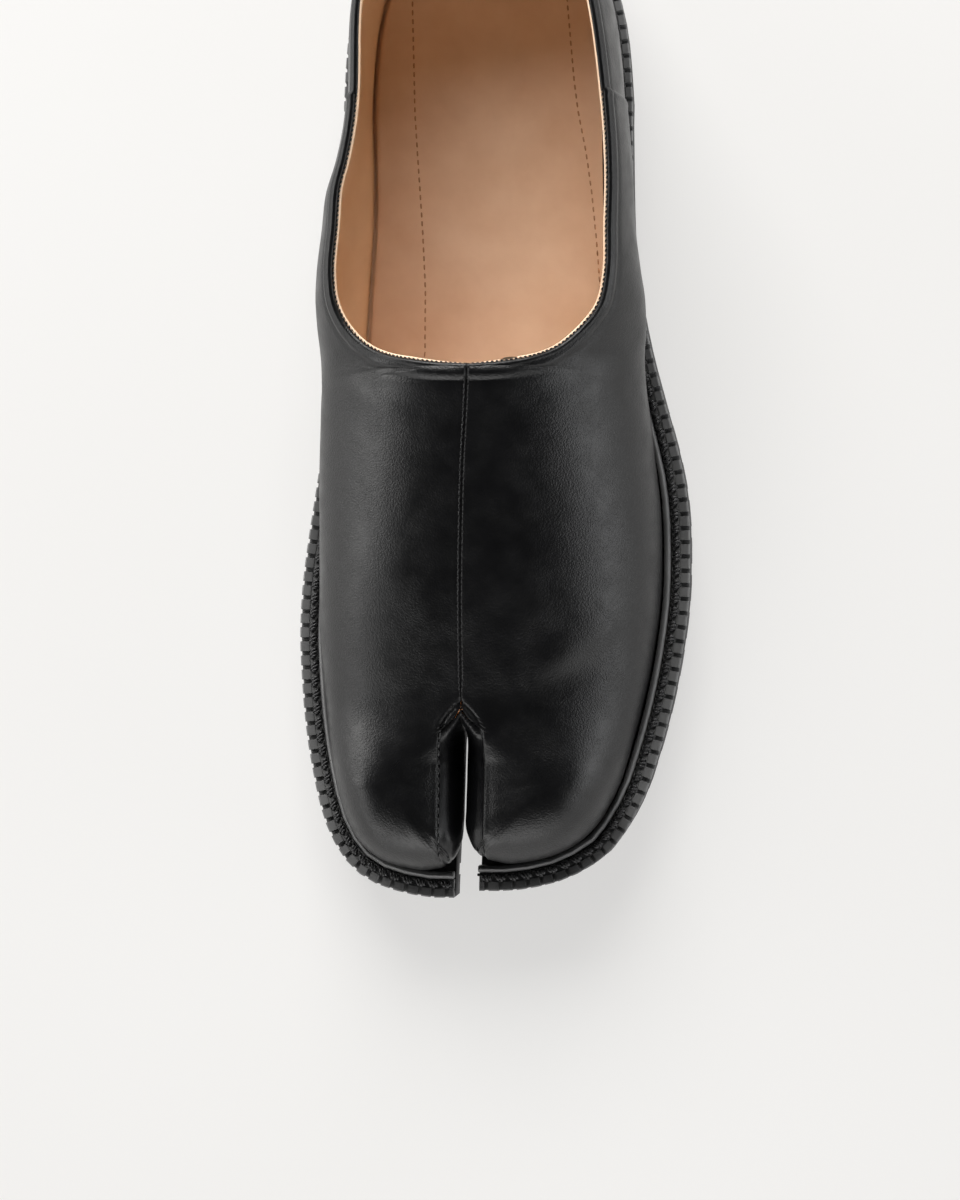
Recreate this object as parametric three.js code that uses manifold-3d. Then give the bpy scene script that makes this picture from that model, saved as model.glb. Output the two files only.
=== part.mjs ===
// Tabi loafer for the left foot: split-toe slip-on with a storm welt and a block heel.
// Millimetres, +Z up. The toe points to -Y, the heel to +Y, the outer side of the foot to +X.
// Shapes are worked out in shoe coordinates: across from the heel axis (outer side positive),
// station from the back of the heel towards the toe, and height over the ground.

import * as THREE from 'three';
import * as BufferGeometryUtils from 'three/addons/utils/BufferGeometryUtils.js';
import Module from 'manifold-3d';

const wasm = await Module();
wasm.setup();

// Overall sizes
const LENGTH = 286;
const BALL_WIDTH = 108.8;
const HEEL_WIDTH = 79.4;
const SEAM_GAP = 0.3;

// Upper
const WALL = 2.2;
const INSTEP_HEIGHT = 75;
const CUFF_STEP = 0.7;
const SIDE_SEAM_STATION = 70.5;

// Toe slot
const SLOT_WIDTH = 7;
const SLOT_DEPTH = 43;
const ARCH_TIP_STATION = 231.4;
const LOBE_POLE_STATION = 253;
const LOBE_HEIGHT = 45.5;
const TOE_CORNER_RADIUS = 4.5;

// Welt
const WELT_WIDTH = 7.4;
const WELT_THICKNESS = 4;
const RIB_BAND = 2.6;
const RIB_PITCH = 3.95;
const NOTCH_WIDTH = 1.2;
const STITCH_BAND = 2.2;
const STITCH_BAND_DROP = 0.4;
const BEAD_RISE = 1.3;

// Insole
const INSOLE_THICKNESS = 3;
const INSOLE_SIDE_GAP = 4;
const INSOLE_FIT = 1.1;

// Sole and heel
const SOLE_TOP_AT_BALL = 12;
const HEEL_SEAT_RISE = 15;
const TOE_RISE = 6.2;
const HEEL_SEAT_THICKNESS = 5.2;
const HEEL_BREAST_STATION = 74;
const HEEL_TAPER = 1.6;
const TOP_PIECE_THICKNESS = 6;
const TOE_SPRING = 7.2;
const LUG_HEIGHT = 3;
const LUG_PITCH = 10.5;
const LUG_GROOVE_WIDTH = 3.2;

// Outer edge of the sole on the inner (medial) side of the foot.
// Columns: station as a share of the length, distance from the heel axis
// as a share of the heel width plus a share of the ball width.
const MEDIAL_EDGE = [
  [0.262, 0.494, 0],
  [0.332, 0.495, 0],
  [0.402, 0.36, 0.111],
  [0.472, 0.22, 0.235],
  [0.542, 0.1, 0.35],
  [0.594, 0, 0.445],
  [0.654, 0, 0.470],
  [0.703, 0, 0.486],
  [0.748, 0, 0.491],
  [0.790, 0, 0.486],
  [0.829, 0, 0.477],
  [0.867, 0, 0.462],
  [0.907, 0, 0.439],
  [0.937, 0, 0.412],
  [0.965, 0, 0.367],
  [0.984, 0, 0.306],
  [0.995, 0, 0.225],
  [1, 0, 0.147],
];

// The same for the outer (lateral) side.
const LATERAL_EDGE = [
  [0.262, 0.506, 0],
  [0.35, 0.508, 0],
  [0.402, 0.36, 0.117],
  [0.465, 0.2, 0.262],
  [0.521, 0, 0.445],
  [0.559, 0, 0.473],
  [0.598, 0, 0.496],
  [0.636, 0, 0.507],
  [0.675, 0, 0.509],
  [0.713, 0, 0.506],
  [0.752, 0, 0.494],
  [0.790, 0, 0.477],
  [0.829, 0, 0.454],
  [0.867, 0, 0.426],
  [0.906, 0, 0.390],
  [0.944, 0, 0.332],
  [0.963, 0, 0.284],
  [0.982, 0, 0.193],
  [0.992, 0, 0.082],
];
const HEEL_CURVE_DEPTH = 0.228;

// Height of the sole's top face over the ball, as shares of the heel rise and the toe rise.
const SOLE_TOP = [
  [0, 1, 0],
  [0.12, 0.91, 0],
  [0.245, 0.77, 0],
  [0.35, 0.51, 0],
  [0.455, 0.24, 0],
  [0.542, 0.07, 0],
  [0.63, 0, 0],
  [0.752, 0, 0],
  [0.857, 0, 0.21],
  [0.937, 0, 0.58],
  [1, 0, 1],
];

// Underside: share of the heel seat's underside height and share of the toe spring.
const SOLE_BOTTOM = [
  [0.26, 1, 0],
  [0.332, 0.79, 0],
  [0.402, 0.51, 0],
  [0.472, 0.2, 0],
  [0.53, 0, 0],
  [0.79, 0, 0],
  [0.857, 0, 0.13],
  [0.916, 0, 0.4],
  [0.962, 0, 0.7],
  [1, 0, 1],
];

// Welt width over the length, as a share of the full welt width.
const WELT_SHARE = [
  [0, 0.82],
  [0.245, 0.74],
  [0.402, 0.72],
  [0.49, 0.84],
  [0.577, 0.95],
  [0.647, 1],
  [1, 1],
];

// Centre seam, then slot centre: distance from the heel axis as a share of the ball width.
const SEAM_LINE = [
  [0.1, 0.036],
  [0.245, 0.03],
  [0.35, 0.008],
  [0.49, -0.001],
  [0.6, -0.022],
  [0.713, -0.035],
  [0.81, -0.042],
  [0.874, -0.048],
  [1, -0.055],
];

// Ridge of the last: height over the ground as a share of the instep height.
// Ahead of the throat it is the centre seam, behind it the leg inside the collar.
const RIDGE = [
  [0, 1.7],
  [0.245, 1.69],
  [0.294, 1.57],
  [0.346, 1.44],
  [0.402, 1.3],
  [0.437, 1.2],
  [0.493, 1],
  [0.549, 0.94],
  [0.601, 0.889],
  [0.657, 0.837],
  [0.713, 0.782],
  [0.759, 0.72],
  [0.81, 0.655],
];

// Roundness of the sections: two powers for the medial side, two for the lateral side.
const ROUNDNESS = [
  [0, 3, 2, 3, 2],
  [0.12, 2.5, 1.8, 2.5, 1.8],
  [0.245, 2, 1.6, 2, 1.6],
  [0.346, 2.1, 2, 2, 2],
  [0.437, 3.1, 2.2, 2.5, 2],
  [0.475, 3, 2.2, 2.4, 2.05],
  [0.493, 2.8, 2.2, 2.3, 2.1],
  [0.55, 2.5, 2.2, 2.25, 2.1],
  [0.65, 2.4, 2.2, 2.2, 2.1],
  [0.81, 2.4, 2.2, 2.2, 2.1],
  [1, 2.5, 2.3, 2.4, 2.2],
];

// How far the leather swells out over the feather line, as a share of the welt width.
const SWELL = [
  [0, 0.6, 0.6],
  [0.12, 0.5, 0.8],
  [0.245, 0.42, 1],
  [0.294, 0.74, 1.16],
  [0.346, 1.25, 1.2],
  [0.402, 1.28, 1.2],
  [0.437, 1.24, 1.18],
  [0.493, 1.02, 0.76],
  [0.542, 0.94, 0.52],
  [0.601, 0.76, 0.2],
  [0.657, 0.48, 0.17],
  [0.713, 0.26, 0.12],
  [0.81, 0.16, 0.12],
  [1, 0.1, 0.1],
];

// Collar and seam line along which each row of the upper ends.
// Columns: station at the feather line, station at the top, and the height of the collar
// over the ground on the medial and on the lateral side as a share of the instep height.
const TOP_LINE = [
  [0, 0, 1.11, 1.11],
  [0.12, 0.12, 1.068, 1.064],
  [0.245, 0.245, 0.99, 0.986],
  [0.31, 0.31, 0.93, 0.92],
  [0.346, 0.346, 0.898, 0.886],
  [0.375, 0.385, 0.868, 0.865],
  [0.395, 0.415, 0.849, 0.86],
  [0.415, 0.437, 0.838, 0.86],
  [0.435, 0.459, 0.838, 0.866],
  [0.455, 0.474, 0.851, 0.88],
  [0.475, 0.4855, 0.88, 0.902],
  [0.495, 0.4935, 0.925, 0.935],
  [0.515, 0.4982, 0.972, 0.971],
  [0.535, 0.5, 1, 1],
  [0.56, 0.53, 1, 1],
  [0.6, 0.58, 1, 1],
  [0.66, 0.652, 1, 1],
  [0.72, 0.72, 1, 1],
  [0.78, 0.78, 1, 1],
  [1, 1, 1, 1],
];
const THROAT_SHARE = 0.5;

// Crest of each toe lobe at its pole, as a share of the half width of the ball.
const LOBE_CREST = { medial: -0.46, lateral: 0.33 };

const MEDIAL = -1;
const LATERAL = 1;

// Smooth curve through one column of a table, without overshoot.
function column(table, index) {
  const xs = table.map((row) => row[0]);
  const ys = table.map((row) => row[index]);
  const count = xs.length;
  const slopes = [];
  for (let i = 0; i < count - 1; i++) slopes.push((ys[i + 1] - ys[i]) / (xs[i + 1] - xs[i]));
  const tangents = slopes.map((slope, i) => {
    if (i === 0) return slope;
    if (slopes[i - 1] * slope <= 0) return 0;
    return (2 * slopes[i - 1] * slope) / (slopes[i - 1] + slope);
  });
  tangents.push(slopes[count - 2]);
  return (x) => {
    if (x <= xs[0]) return ys[0];
    if (x >= xs[count - 1]) return ys[count - 1];
    let k = 0;
    while (x > xs[k + 1]) k++;
    const h = xs[k + 1] - xs[k];
    const t = (x - xs[k]) / h;
    const t2 = t * t;
    const t3 = t2 * t;
    return (
      ys[k] * (2 * t3 - 3 * t2 + 1) +
      tangents[k] * h * (t3 - 2 * t2 + t) +
      ys[k + 1] * (3 * t2 - 2 * t3) +
      tangents[k + 1] * h * (t3 - t2)
    );
  };
}

const clamp = THREE.MathUtils.clamp;
const lerp = THREE.MathUtils.lerp;
const smoothstep = THREE.MathUtils.smoothstep;

// Heights and lines along the shoe
const topHeel = column(SOLE_TOP, 1);
const topToe = column(SOLE_TOP, 2);
const bottomHeel = column(SOLE_BOTTOM, 1);
const bottomToe = column(SOLE_BOTTOM, 2);
const weltShare = column(WELT_SHARE, 1);
const seamShare = column(SEAM_LINE, 1);
const ridgeShare = column(RIDGE, 1);

const soleTop = (s) => SOLE_TOP_AT_BALL + HEEL_SEAT_RISE * topHeel(s / LENGTH) + TOE_RISE * topToe(s / LENGTH);
const seatUnderside = soleTop(HEEL_BREAST_STATION) - HEEL_SEAT_THICKNESS;
const soleBottom = (s) => seatUnderside * bottomHeel(s / LENGTH) + TOE_SPRING * bottomToe(s / LENGTH);
const weltTop = (s) => soleTop(s) + WELT_THICKNESS;
const featherInset = (s) => WELT_WIDTH * weltShare(s / LENGTH);
const seamX = (s) => BALL_WIDTH * seamShare(s / LENGTH);
const featherZ = (s) => soleTop(s) + SEAM_GAP;

// Outer edge of the sole: one curve from the medial side of the slot round the heel
// to the lateral side of the slot.
function edgePoints(side) {
  const table = side === MEDIAL ? MEDIAL_EDGE : LATERAL_EDGE;
  const heelHalf = HEEL_WIDTH * table[0][1];
  const heelDepth = LENGTH * HEEL_CURVE_DEPTH;
  const heelSteps = 5;
  const points = [];
  for (let k = 1; k <= heelSteps; k++) {
    const angle = (k / heelSteps) * (Math.PI / 2);
    points.push(new THREE.Vector2(side * heelHalf * Math.sin(angle), heelDepth * (1 - Math.cos(angle))));
  }
  for (const [station, heelShare, ballShare] of table) {
    points.push(new THREE.Vector2(side * (heelShare * HEEL_WIDTH + ballShare * BALL_WIDTH), station * LENGTH));
  }
  const slotEdge = seamX(LENGTH) + (side * SLOT_WIDTH) / 2;
  const last = points[points.length - 1];
  points.push(new THREE.Vector2(slotEdge, last.y + (LENGTH - last.y) * 0.2));
  return points;
}

const outline = new THREE.SplineCurve([
  ...edgePoints(MEDIAL).reverse(),
  new THREE.Vector2(0, 0),
  ...edgePoints(LATERAL),
]);
outline.arcLengthDivisions = 1200;
const outlineLength = outline.getLength();

// Point on the outline moved inwards by a distance.
function insetPoint(u, distance) {
  const point = outline.getPointAt(u);
  const tangent = outline.getTangentAt(u);
  return new THREE.Vector2(point.x - tangent.y * distance, point.y + tangent.x * distance);
}

// Share of a curve's length up to which a test holds.
function findShare(test) {
  let low = 0;
  let high = 1;
  for (let k = 0; k < 40; k++) {
    const middle = (low + high) / 2;
    if (test(middle)) low = middle;
    else high = middle;
  }
  return (low + high) / 2;
}
const heelShareU = findShare((u) => outline.getPointAt(u).x < 0);

const box = new THREE.Box2().setFromPoints(outline.getSpacedPoints(600));
const centreX = (box.min.x + box.max.x) / 2;
const toPart = (x, s, z) => new THREE.Vector3(x - centreX, LENGTH / 2 - s, z);

// Geometry helpers
function signedVolume(geometry) {
  const position = geometry.getAttribute('position');
  const index = geometry.getIndex();
  const a = new THREE.Vector3();
  const b = new THREE.Vector3();
  const c = new THREE.Vector3();
  let volume = 0;
  for (let k = 0; k < index.count; k += 3) {
    a.fromBufferAttribute(position, index.getX(k));
    b.fromBufferAttribute(position, index.getX(k + 1));
    c.fromBufferAttribute(position, index.getX(k + 2));
    volume += a.dot(b.cross(c)) / 6;
  }
  return volume;
}

function fromTriangles(points, triangles) {
  const geometry = new THREE.BufferGeometry();
  geometry.setAttribute('position', new THREE.Float32BufferAttribute(points.flatMap((p) => [p.x, p.y, p.z]), 3));
  geometry.setIndex(triangles.flat());
  if (signedVolume(geometry) < 0) {
    geometry.setIndex(triangles.flatMap(([a, b, c]) => [a, c, b]));
  }
  return geometry;
}

function toSolid(geometry) {
  const bare = geometry.clone();
  bare.deleteAttribute('normal');
  bare.deleteAttribute('uv');
  const merged = BufferGeometryUtils.mergeVertices(bare, 1e-4);
  const vertProperties = new Float32Array(merged.getAttribute('position').array);
  const triVerts = new Uint32Array(merged.getIndex().array);
  return new wasm.Manifold(new wasm.Mesh({ numProp: 3, vertProperties, triVerts }));
}

function fromSolid(solid) {
  const mesh = solid.getMesh();
  const geometry = new THREE.BufferGeometry();
  geometry.setAttribute('position', new THREE.BufferAttribute(new Float32Array(mesh.vertProperties), 3));
  geometry.setIndex(new THREE.BufferAttribute(new Uint32Array(mesh.triVerts), 1));
  return geometry;
}

// Upper: the surface of the last, as rows that run from the feather line up to the ridge.
const sectionPower = { [MEDIAL]: column(ROUNDNESS, 1), [LATERAL]: column(ROUNDNESS, 3) };
const sectionFullness = { [MEDIAL]: column(ROUNDNESS, 2), [LATERAL]: column(ROUNDNESS, 4) };
const swell = { [MEDIAL]: column(SWELL, 1), [LATERAL]: column(SWELL, 2) };
const topStation = column(TOP_LINE, 1);
const collarShare = { [MEDIAL]: column(TOP_LINE, 2), [LATERAL]: column(TOP_LINE, 3) };

const HEEL_POLE_STATION = 66;
const SLOT_END_STATION = LENGTH - SLOT_DEPTH;
const gussetHalf = SLOT_WIDTH / 2 + SEAM_GAP;
const STAND = WELT_THICKNESS + BEAD_RISE;
const SLOT_ROUNDNESS = 9;
const SLOT_REAR_ROUNDNESS = 4;
const SLOT_REAR_BLEND = 6;
const SLOT_SWELL = 2.9;

// Largest value of w (1 - w)^2, at a third of the height.
const SWELL_PEAK = 4 / 27;
const crestX = { [MEDIAL]: (LOBE_CREST.medial * BALL_WIDTH) / 2, [LATERAL]: (LOBE_CREST.lateral * BALL_WIDTH) / 2 };

// Line that a row climbs to: the ridge, then the crest of the toe lobe up to its pole.
function spine(side, station) {
  const s = clamp(station, HEEL_POLE_STATION, LOBE_POLE_STATION);
  if (s <= ARCH_TIP_STATION) {
    return new THREE.Vector3(seamX(s), s, INSTEP_HEIGHT * ridgeShare(s / LENGTH));
  }
  const t = (s - ARCH_TIP_STATION) / (LOBE_POLE_STATION - ARCH_TIP_STATION);
  const x = lerp(seamX(s), crestX[side], smoothstep(t, 0, 1));
  const tip = INSTEP_HEIGHT * ridgeShare(ARCH_TIP_STATION / LENGTH);
  return new THREE.Vector3(x, s, lerp(tip, LOBE_HEIGHT, t * (1.6 - 0.6 * t)));
}

// Foot of the rows of one half: feather line from the heel back to the toe,
// round the slot's front corner and back along the slot.
function footPath(side) {
  const points = [];
  const steps = 60;
  const end = side === MEDIAL ? 0 : 1;
  const slotX = (s) => seamX(s) + side * gussetHalf;
  for (let k = 0; k <= steps; k++) {
    const u = lerp(heelShareU, end, k / steps);
    const point = insetPoint(u, featherInset(outline.getPointAt(u).y));
    if (k > steps / 2 && side * (point.x - slotX(point.y)) < TOE_CORNER_RADIUS) break;
    points.push(point);
  }
  const front = points[points.length - 1].y;
  const bend = TOE_CORNER_RADIUS * (1 - Math.SQRT1_2);
  points.push(new THREE.Vector2(slotX(front) + side * bend, front - bend));
  const slotSteps = 7;
  const back = SLOT_END_STATION;
  for (let k = 0; k <= slotSteps; k++) {
    const s = lerp(front - TOE_CORNER_RADIUS, back, k / slotSteps);
    points.push(new THREE.Vector2(slotX(s), s));
  }
  const roundSteps = 3;
  for (let k = 1; k <= roundSteps; k++) {
    const angle = (k / roundSteps) * (Math.PI / 2);
    const s = back - gussetHalf * Math.sin(angle);
    points.push(new THREE.Vector2(seamX(s) + side * gussetHalf * Math.cos(angle), s));
  }
  const curve = new THREE.SplineCurve(points);
  curve.arcLengthDivisions = 1200;
  return { curve, front };
}

const paths = { [MEDIAL]: footPath(MEDIAL), [LATERAL]: footPath(LATERAL) };
for (const side of [MEDIAL, LATERAL]) {
  const { curve, front } = paths[side];
  let best = 0;
  let bestStation = 0;
  for (let k = 0; k <= 2000; k++) {
    const point = curve.getPointAt(k / 2000);
    if (point.y > bestStation) {
      bestStation = point.y;
      best = k / 2000;
    }
  }
  paths[side].cornerU = findShare((u) => u < best || (curve.getPointAt(u).y > front - TOE_CORNER_RADIUS / 2 && u < 0.99));
  paths[side].length = curve.getLength();
}

// Share of a half's path at which its foot reaches a station on the outer side.
function pathShare(side, station) {
  const { curve, cornerU } = paths[side];
  let low = 0;
  let high = cornerU * 0.9;
  for (let k = 0; k < 32; k++) {
    const middle = (low + high) / 2;
    if (curve.getPointAt(middle).y < station) low = middle;
    else high = middle;
  }
  return (low + high) / 2;
}

// Value of a table column for one side. Both halves have the same value where they meet
// at the back of the heel.
const HEEL_BLEND = 25;
function sided(columns, side, share, u) {
  const own = smoothstep(u * paths[side].length, 0, HEEL_BLEND);
  return lerp(columns[MEDIAL](share), columns[side](share), own);
}

// Everything that shapes the row at a share of the path.
function rowShape(side, u) {
  const { curve, cornerU, length } = paths[side];
  const foot = curve.getPointAt(u);
  const share = foot.y / LENGTH;
  const past = (u - cornerU) * length;
  const inSlot = smoothstep(past, -6, 5);
  const slotStation = SLOT_END_STATION - gussetHalf;
  let station = foot.y;
  if (past > 0 && foot.y < LOBE_POLE_STATION) {
    const t = (LOBE_POLE_STATION - foot.y) / (LOBE_POLE_STATION - slotStation);
    station = lerp(LOBE_POLE_STATION, ARCH_TIP_STATION, clamp(t, 0, 1));
  }
  const atRear = past > 0 ? smoothstep(SLOT_END_STATION + SLOT_REAR_BLEND - foot.y, 0, SLOT_REAR_BLEND + gussetHalf) : 0;
  const slotPower = lerp(SLOT_ROUNDNESS, SLOT_REAR_ROUNDNESS, atRear);
  const power = lerp(sided(sectionPower, side, share, u), slotPower, inSlot);
  const fullness = lerp(sided(sectionFullness, side, share, u), 2, inSlot);
  const top = spine(side, station);
  const outward = new THREE.Vector2(foot.x - top.x, foot.y - top.y);
  outward.setLength(WELT_WIDTH * sided(swell, side, share, u));
  const across = new THREE.Vector2((-SLOT_SWELL / gussetHalf) * (foot.x - seamX(foot.y)), 0);
  return { foot, top, power, fullness, bulge: outward.lerp(across, inSlot) };
}

// Point of the last at a row and a share of the way up to the ridge.
function lastPoint(shape, v) {
  const { foot, top, power, fullness, bulge } = shape;
  const low = featherZ(foot.y);
  const height = top.z - low;
  const reach = Math.pow(Math.max(0, 1 - Math.pow(v, power)), 1 / fullness);
  const free = STAND / height;
  const w = Math.max(0, (v - free) / (1 - free));
  const swollen = (w * (1 - w) * (1 - w)) / SWELL_PEAK;
  return new THREE.Vector3(
    top.x + (foot.x - top.x) * reach + bulge.x * swollen,
    top.y + (foot.y - top.y) * reach + bulge.y * swollen,
    low + height * v,
  );
}

// One row from the feather line to the collar or the seam, with points an equal way apart.
function rowPoints(side, u, count) {
  const base = rowShape(side, u);
  const share = base.foot.y / LENGTH;
  const pastCorner = u > paths[side].cornerU;
  const shift = pastCorner ? 0 : (topStation(share) - share) * LENGTH;
  let end = 1;
  if (!pastCorner && topStation(share) < THROAT_SHARE) {
    const above = rowShape(side, pathShare(side, base.foot.y + shift));
    const low = featherZ(above.foot.y);
    end = Math.min(1, (INSTEP_HEIGHT * sided(collarShare, side, share, u) - low) / (above.top.z - low));
  }
  const quarterStep = base.foot.y < SIDE_SEAM_STATION && !pastCorner ? CUFF_STEP : 0;
  const samples = [];
  const fine = 48;
  for (let k = 0; k <= fine; k++) {
    samples.push((k / fine) * end);
    const angle = (k / fine) * Math.asin(Math.pow(end, base.power / 2));
    samples.push(Math.pow(Math.sin(angle), 2 / base.power));
  }
  samples.sort((a, b) => a - b);
  const line = [];
  for (const v of samples) {
    let shape = base;
    if (Math.abs(shift) > 0.01) {
      shape = rowShape(side, pathShare(side, base.foot.y + (shift * v) / end));
    }
    const point = lastPoint(shape, v);
    const previous = line[line.length - 1];
    if (!previous || previous.distanceTo(point) > 1e-4) line.push(point);
  }
  const lengths = [0];
  for (let k = 1; k < line.length; k++) lengths.push(lengths[k - 1] + line[k].distanceTo(line[k - 1]));
  const total = lengths[lengths.length - 1];
  const points = [];
  let k = 0;
  for (let j = 0; j <= count; j++) {
    const target = j === 0 ? 0 : lerp(STAND, total, (j - 1) / (count - 1));
    while (k < line.length - 2 && lengths[k + 1] < target) k++;
    const t = clamp((target - lengths[k]) / (lengths[k + 1] - lengths[k]), 0, 1);
    const point = line[k].clone().lerp(line[k + 1], t);
    if (quarterStep) {
      const axis = new THREE.Vector2(point.x - base.top.x, point.y - base.top.y);
      const rise = smoothstep(point.z, weltTop(base.foot.y), weltTop(base.foot.y) + 4);
      axis.setLength(axis.length() - quarterStep * rise);
      point.x = base.top.x + axis.x;
      point.y = base.top.y + axis.y;
    }
    points.push(point);
  }
  return points;
}

const ROW_SPACING = 7.9;
const POINTS_PER_ROW = 12;
const SEAM_STEP_WIDTH = 0.5;
const THROAT_FOOT_SHARE = 0.535;

// Rows of the lobe between the arch tip and the pole, which both of its flanks share.
const CREST_ROWS = [0.07, 0.17, 0.31, 0.53, 0.77];

// Share of a half's path at which its foot reaches a station on the way back along the slot.
function slotShare(side, station) {
  const { curve, cornerU } = paths[side];
  let low = cornerU;
  let high = 1;
  for (let k = 0; k < 32; k++) {
    const middle = (low + high) / 2;
    if (curve.getPointAt(middle).y > station) low = middle;
    else high = middle;
  }
  return (low + high) / 2;
}

// Shares of the path at which the rows stand. Rows of both halves meet along the centre seam,
// and rows of both flanks of a lobe meet along its crest.
function rowShares(side) {
  const { cornerU, length } = paths[side];
  const seamU = pathShare(side, SIDE_SEAM_STATION);
  const throat = THROAT_FOOT_SHARE * LENGTH;
  const half = SEAM_STEP_WIDTH / 2 / length;
  const shares = [];
  const spread = (from, to, spacing) => {
    const count = Math.round(((to - from) * length) / spacing);
    for (let k = 0; k < count; k++) shares.push(lerp(from, to, k / count));
  };
  spread(0, seamU - half, ROW_SPACING);
  shares.push(seamU - half);
  spread(seamU + half, pathShare(side, throat), ROW_SPACING);
  const vampRows = Math.round((ARCH_TIP_STATION - throat) / ROW_SPACING);
  for (let k = 0; k <= vampRows; k++) shares.push(pathShare(side, lerp(throat, ARCH_TIP_STATION, k / vampRows)));
  for (const t of CREST_ROWS) shares.push(pathShare(side, lerp(ARCH_TIP_STATION, LOBE_POLE_STATION, t)));
  spread(pathShare(side, LOBE_POLE_STATION), cornerU, ROW_SPACING * 0.85);
  spread(cornerU, slotShare(side, LOBE_POLE_STATION), ROW_SPACING * 0.85);
  shares.push(slotShare(side, LOBE_POLE_STATION));
  const rear = SLOT_END_STATION - gussetHalf;
  for (const t of [...CREST_ROWS].reverse()) shares.push(slotShare(side, lerp(rear, LOBE_POLE_STATION, t)));
  shares.push(1);
  return shares;
}

// Closed wall from an open surface: the surface, its copy moved inwards, and the rims.
function thicken(points, triangles, wall, settle) {
  const surface = new THREE.BufferGeometry();
  surface.setAttribute('position', new THREE.Float32BufferAttribute(points.flatMap((p) => [p.x, p.y, p.z]), 3));
  surface.setIndex(triangles.flat());
  surface.computeVertexNormals();
  const normal = surface.getAttribute('normal');
  const inner = points.map((point, i) => {
    const direction = new THREE.Vector3().fromBufferAttribute(normal, i);
    return settle(i, point, point.clone().addScaledVector(direction, wall));
  });
  const edges = new Map();
  for (const [a, b, c] of triangles) {
    for (const [from, to] of [[a, b], [b, c], [c, a]]) {
      const key = `${to}_${from}`;
      if (edges.has(key)) edges.delete(key);
      else edges.set(`${from}_${to}`, [from, to]);
    }
  }
  const offset = points.length;
  const closed = [...triangles];
  for (const [a, b, c] of triangles) closed.push([a + offset, c + offset, b + offset]);
  for (const [from, to] of edges.values()) {
    closed.push([to, from, from + offset]);
    closed.push([to, from + offset, to + offset]);
  }
  return fromTriangles([...points, ...inner], closed);
}

function makeUpper() {
  const points = [];
  const lookup = new Map();
  const feet = new Set();
  const vertex = (point) => {
    const p = toPart(point.x, point.y, point.z);
    const key = [p.x, p.y, p.z].map((value) => Math.round(value * 200)).join(' ');
    if (!lookup.has(key)) {
      lookup.set(key, points.length);
      points.push(p);
    }
    return lookup.get(key);
  };
  const triangles = [];
  const add = (a, b, c) => {
    if (a !== b && b !== c && c !== a) triangles.push([a, b, c]);
  };
  for (const side of [MEDIAL, LATERAL]) {
    const rows = rowShares(side).map((u) => rowPoints(side, u, POINTS_PER_ROW).map(vertex));
    for (const row of rows) feet.add(row[0]);
    for (let i = 0; i < rows.length - 1; i++) {
      for (let j = 0; j < POINTS_PER_ROW; j++) {
        const a = rows[i][j];
        const b = rows[i + 1][j];
        const c = rows[i + 1][j + 1];
        const d = rows[i][j + 1];
        if (side === LATERAL) {
          add(a, b, c);
          add(a, c, d);
        } else {
          add(a, c, b);
          add(a, d, c);
        }
      }
    }
  }
  const settle = (i, point, moved) => {
    if (feet.has(i)) moved.z = point.z;
    return moved;
  };
  return thicken(points, triangles, WALL, settle);
}

// How finely the pieces of the bottom follow the outline and the side view
const BEAD_STEPS = 90;
const OUTSOLE_STEPS = 120;
const HEEL_STEPS = 110;
const INSOLE_STEPS = 100;
const PROFILE_STEP = 8;
const OVERRUN = 6;
const FIRST_LUG_SHARE = 0.53;

// Band that follows the outline: a closed strip of given cross-sections.
function makeStrip(shares, section) {
  const points = [];
  const triangles = [];
  const rings = shares.map((u, k) => {
    const ring = section(u, k);
    return ring.map((point) => {
      points.push(toPart(point[0], point[1], point[2]));
      return points.length - 1;
    });
  });
  const size = rings[0].length;
  for (let i = 0; i < rings.length - 1; i++) {
    for (let j = 0; j < size; j++) {
      const next = (j + 1) % size;
      triangles.push([rings[i][j], rings[i][next], rings[i + 1][next]]);
      triangles.push([rings[i][j], rings[i + 1][next], rings[i + 1][j]]);
    }
  }
  const first = rings[0];
  const last = rings[rings.length - 1];
  for (let j = 1; j < size - 1; j++) {
    triangles.push([first[0], first[j + 1], first[j]]);
    triangles.push([last[0], last[j], last[j + 1]]);
  }
  return fromTriangles(points, triangles);
}

function makeWeltBead() {
  const shares = Array.from({ length: BEAD_STEPS + 1 }, (_, k) => k / BEAD_STEPS);
  return makeStrip(shares, (u) => {
    const edge = outline.getPointAt(u);
    const inset = featherInset(edge.y);
    const scale = inset / WELT_WIDTH;
    const outer = (RIB_BAND + STITCH_BAND) * scale + SEAM_GAP;
    const inner = inset - SEAM_GAP;
    const top = weltTop(edge.y);
    const low = soleTop(edge.y) + SEAM_GAP;
    const at = (distance, z) => {
      const point = insetPoint(u, distance);
      return [point.x, point.y, z];
    };
    return [
      at(outer, low),
      at(outer, top),
      at((outer + inner) / 2, top + BEAD_RISE - SEAM_GAP),
      at(inner, top + SEAM_GAP),
      at(inner, low),
    ];
  });
}

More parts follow.
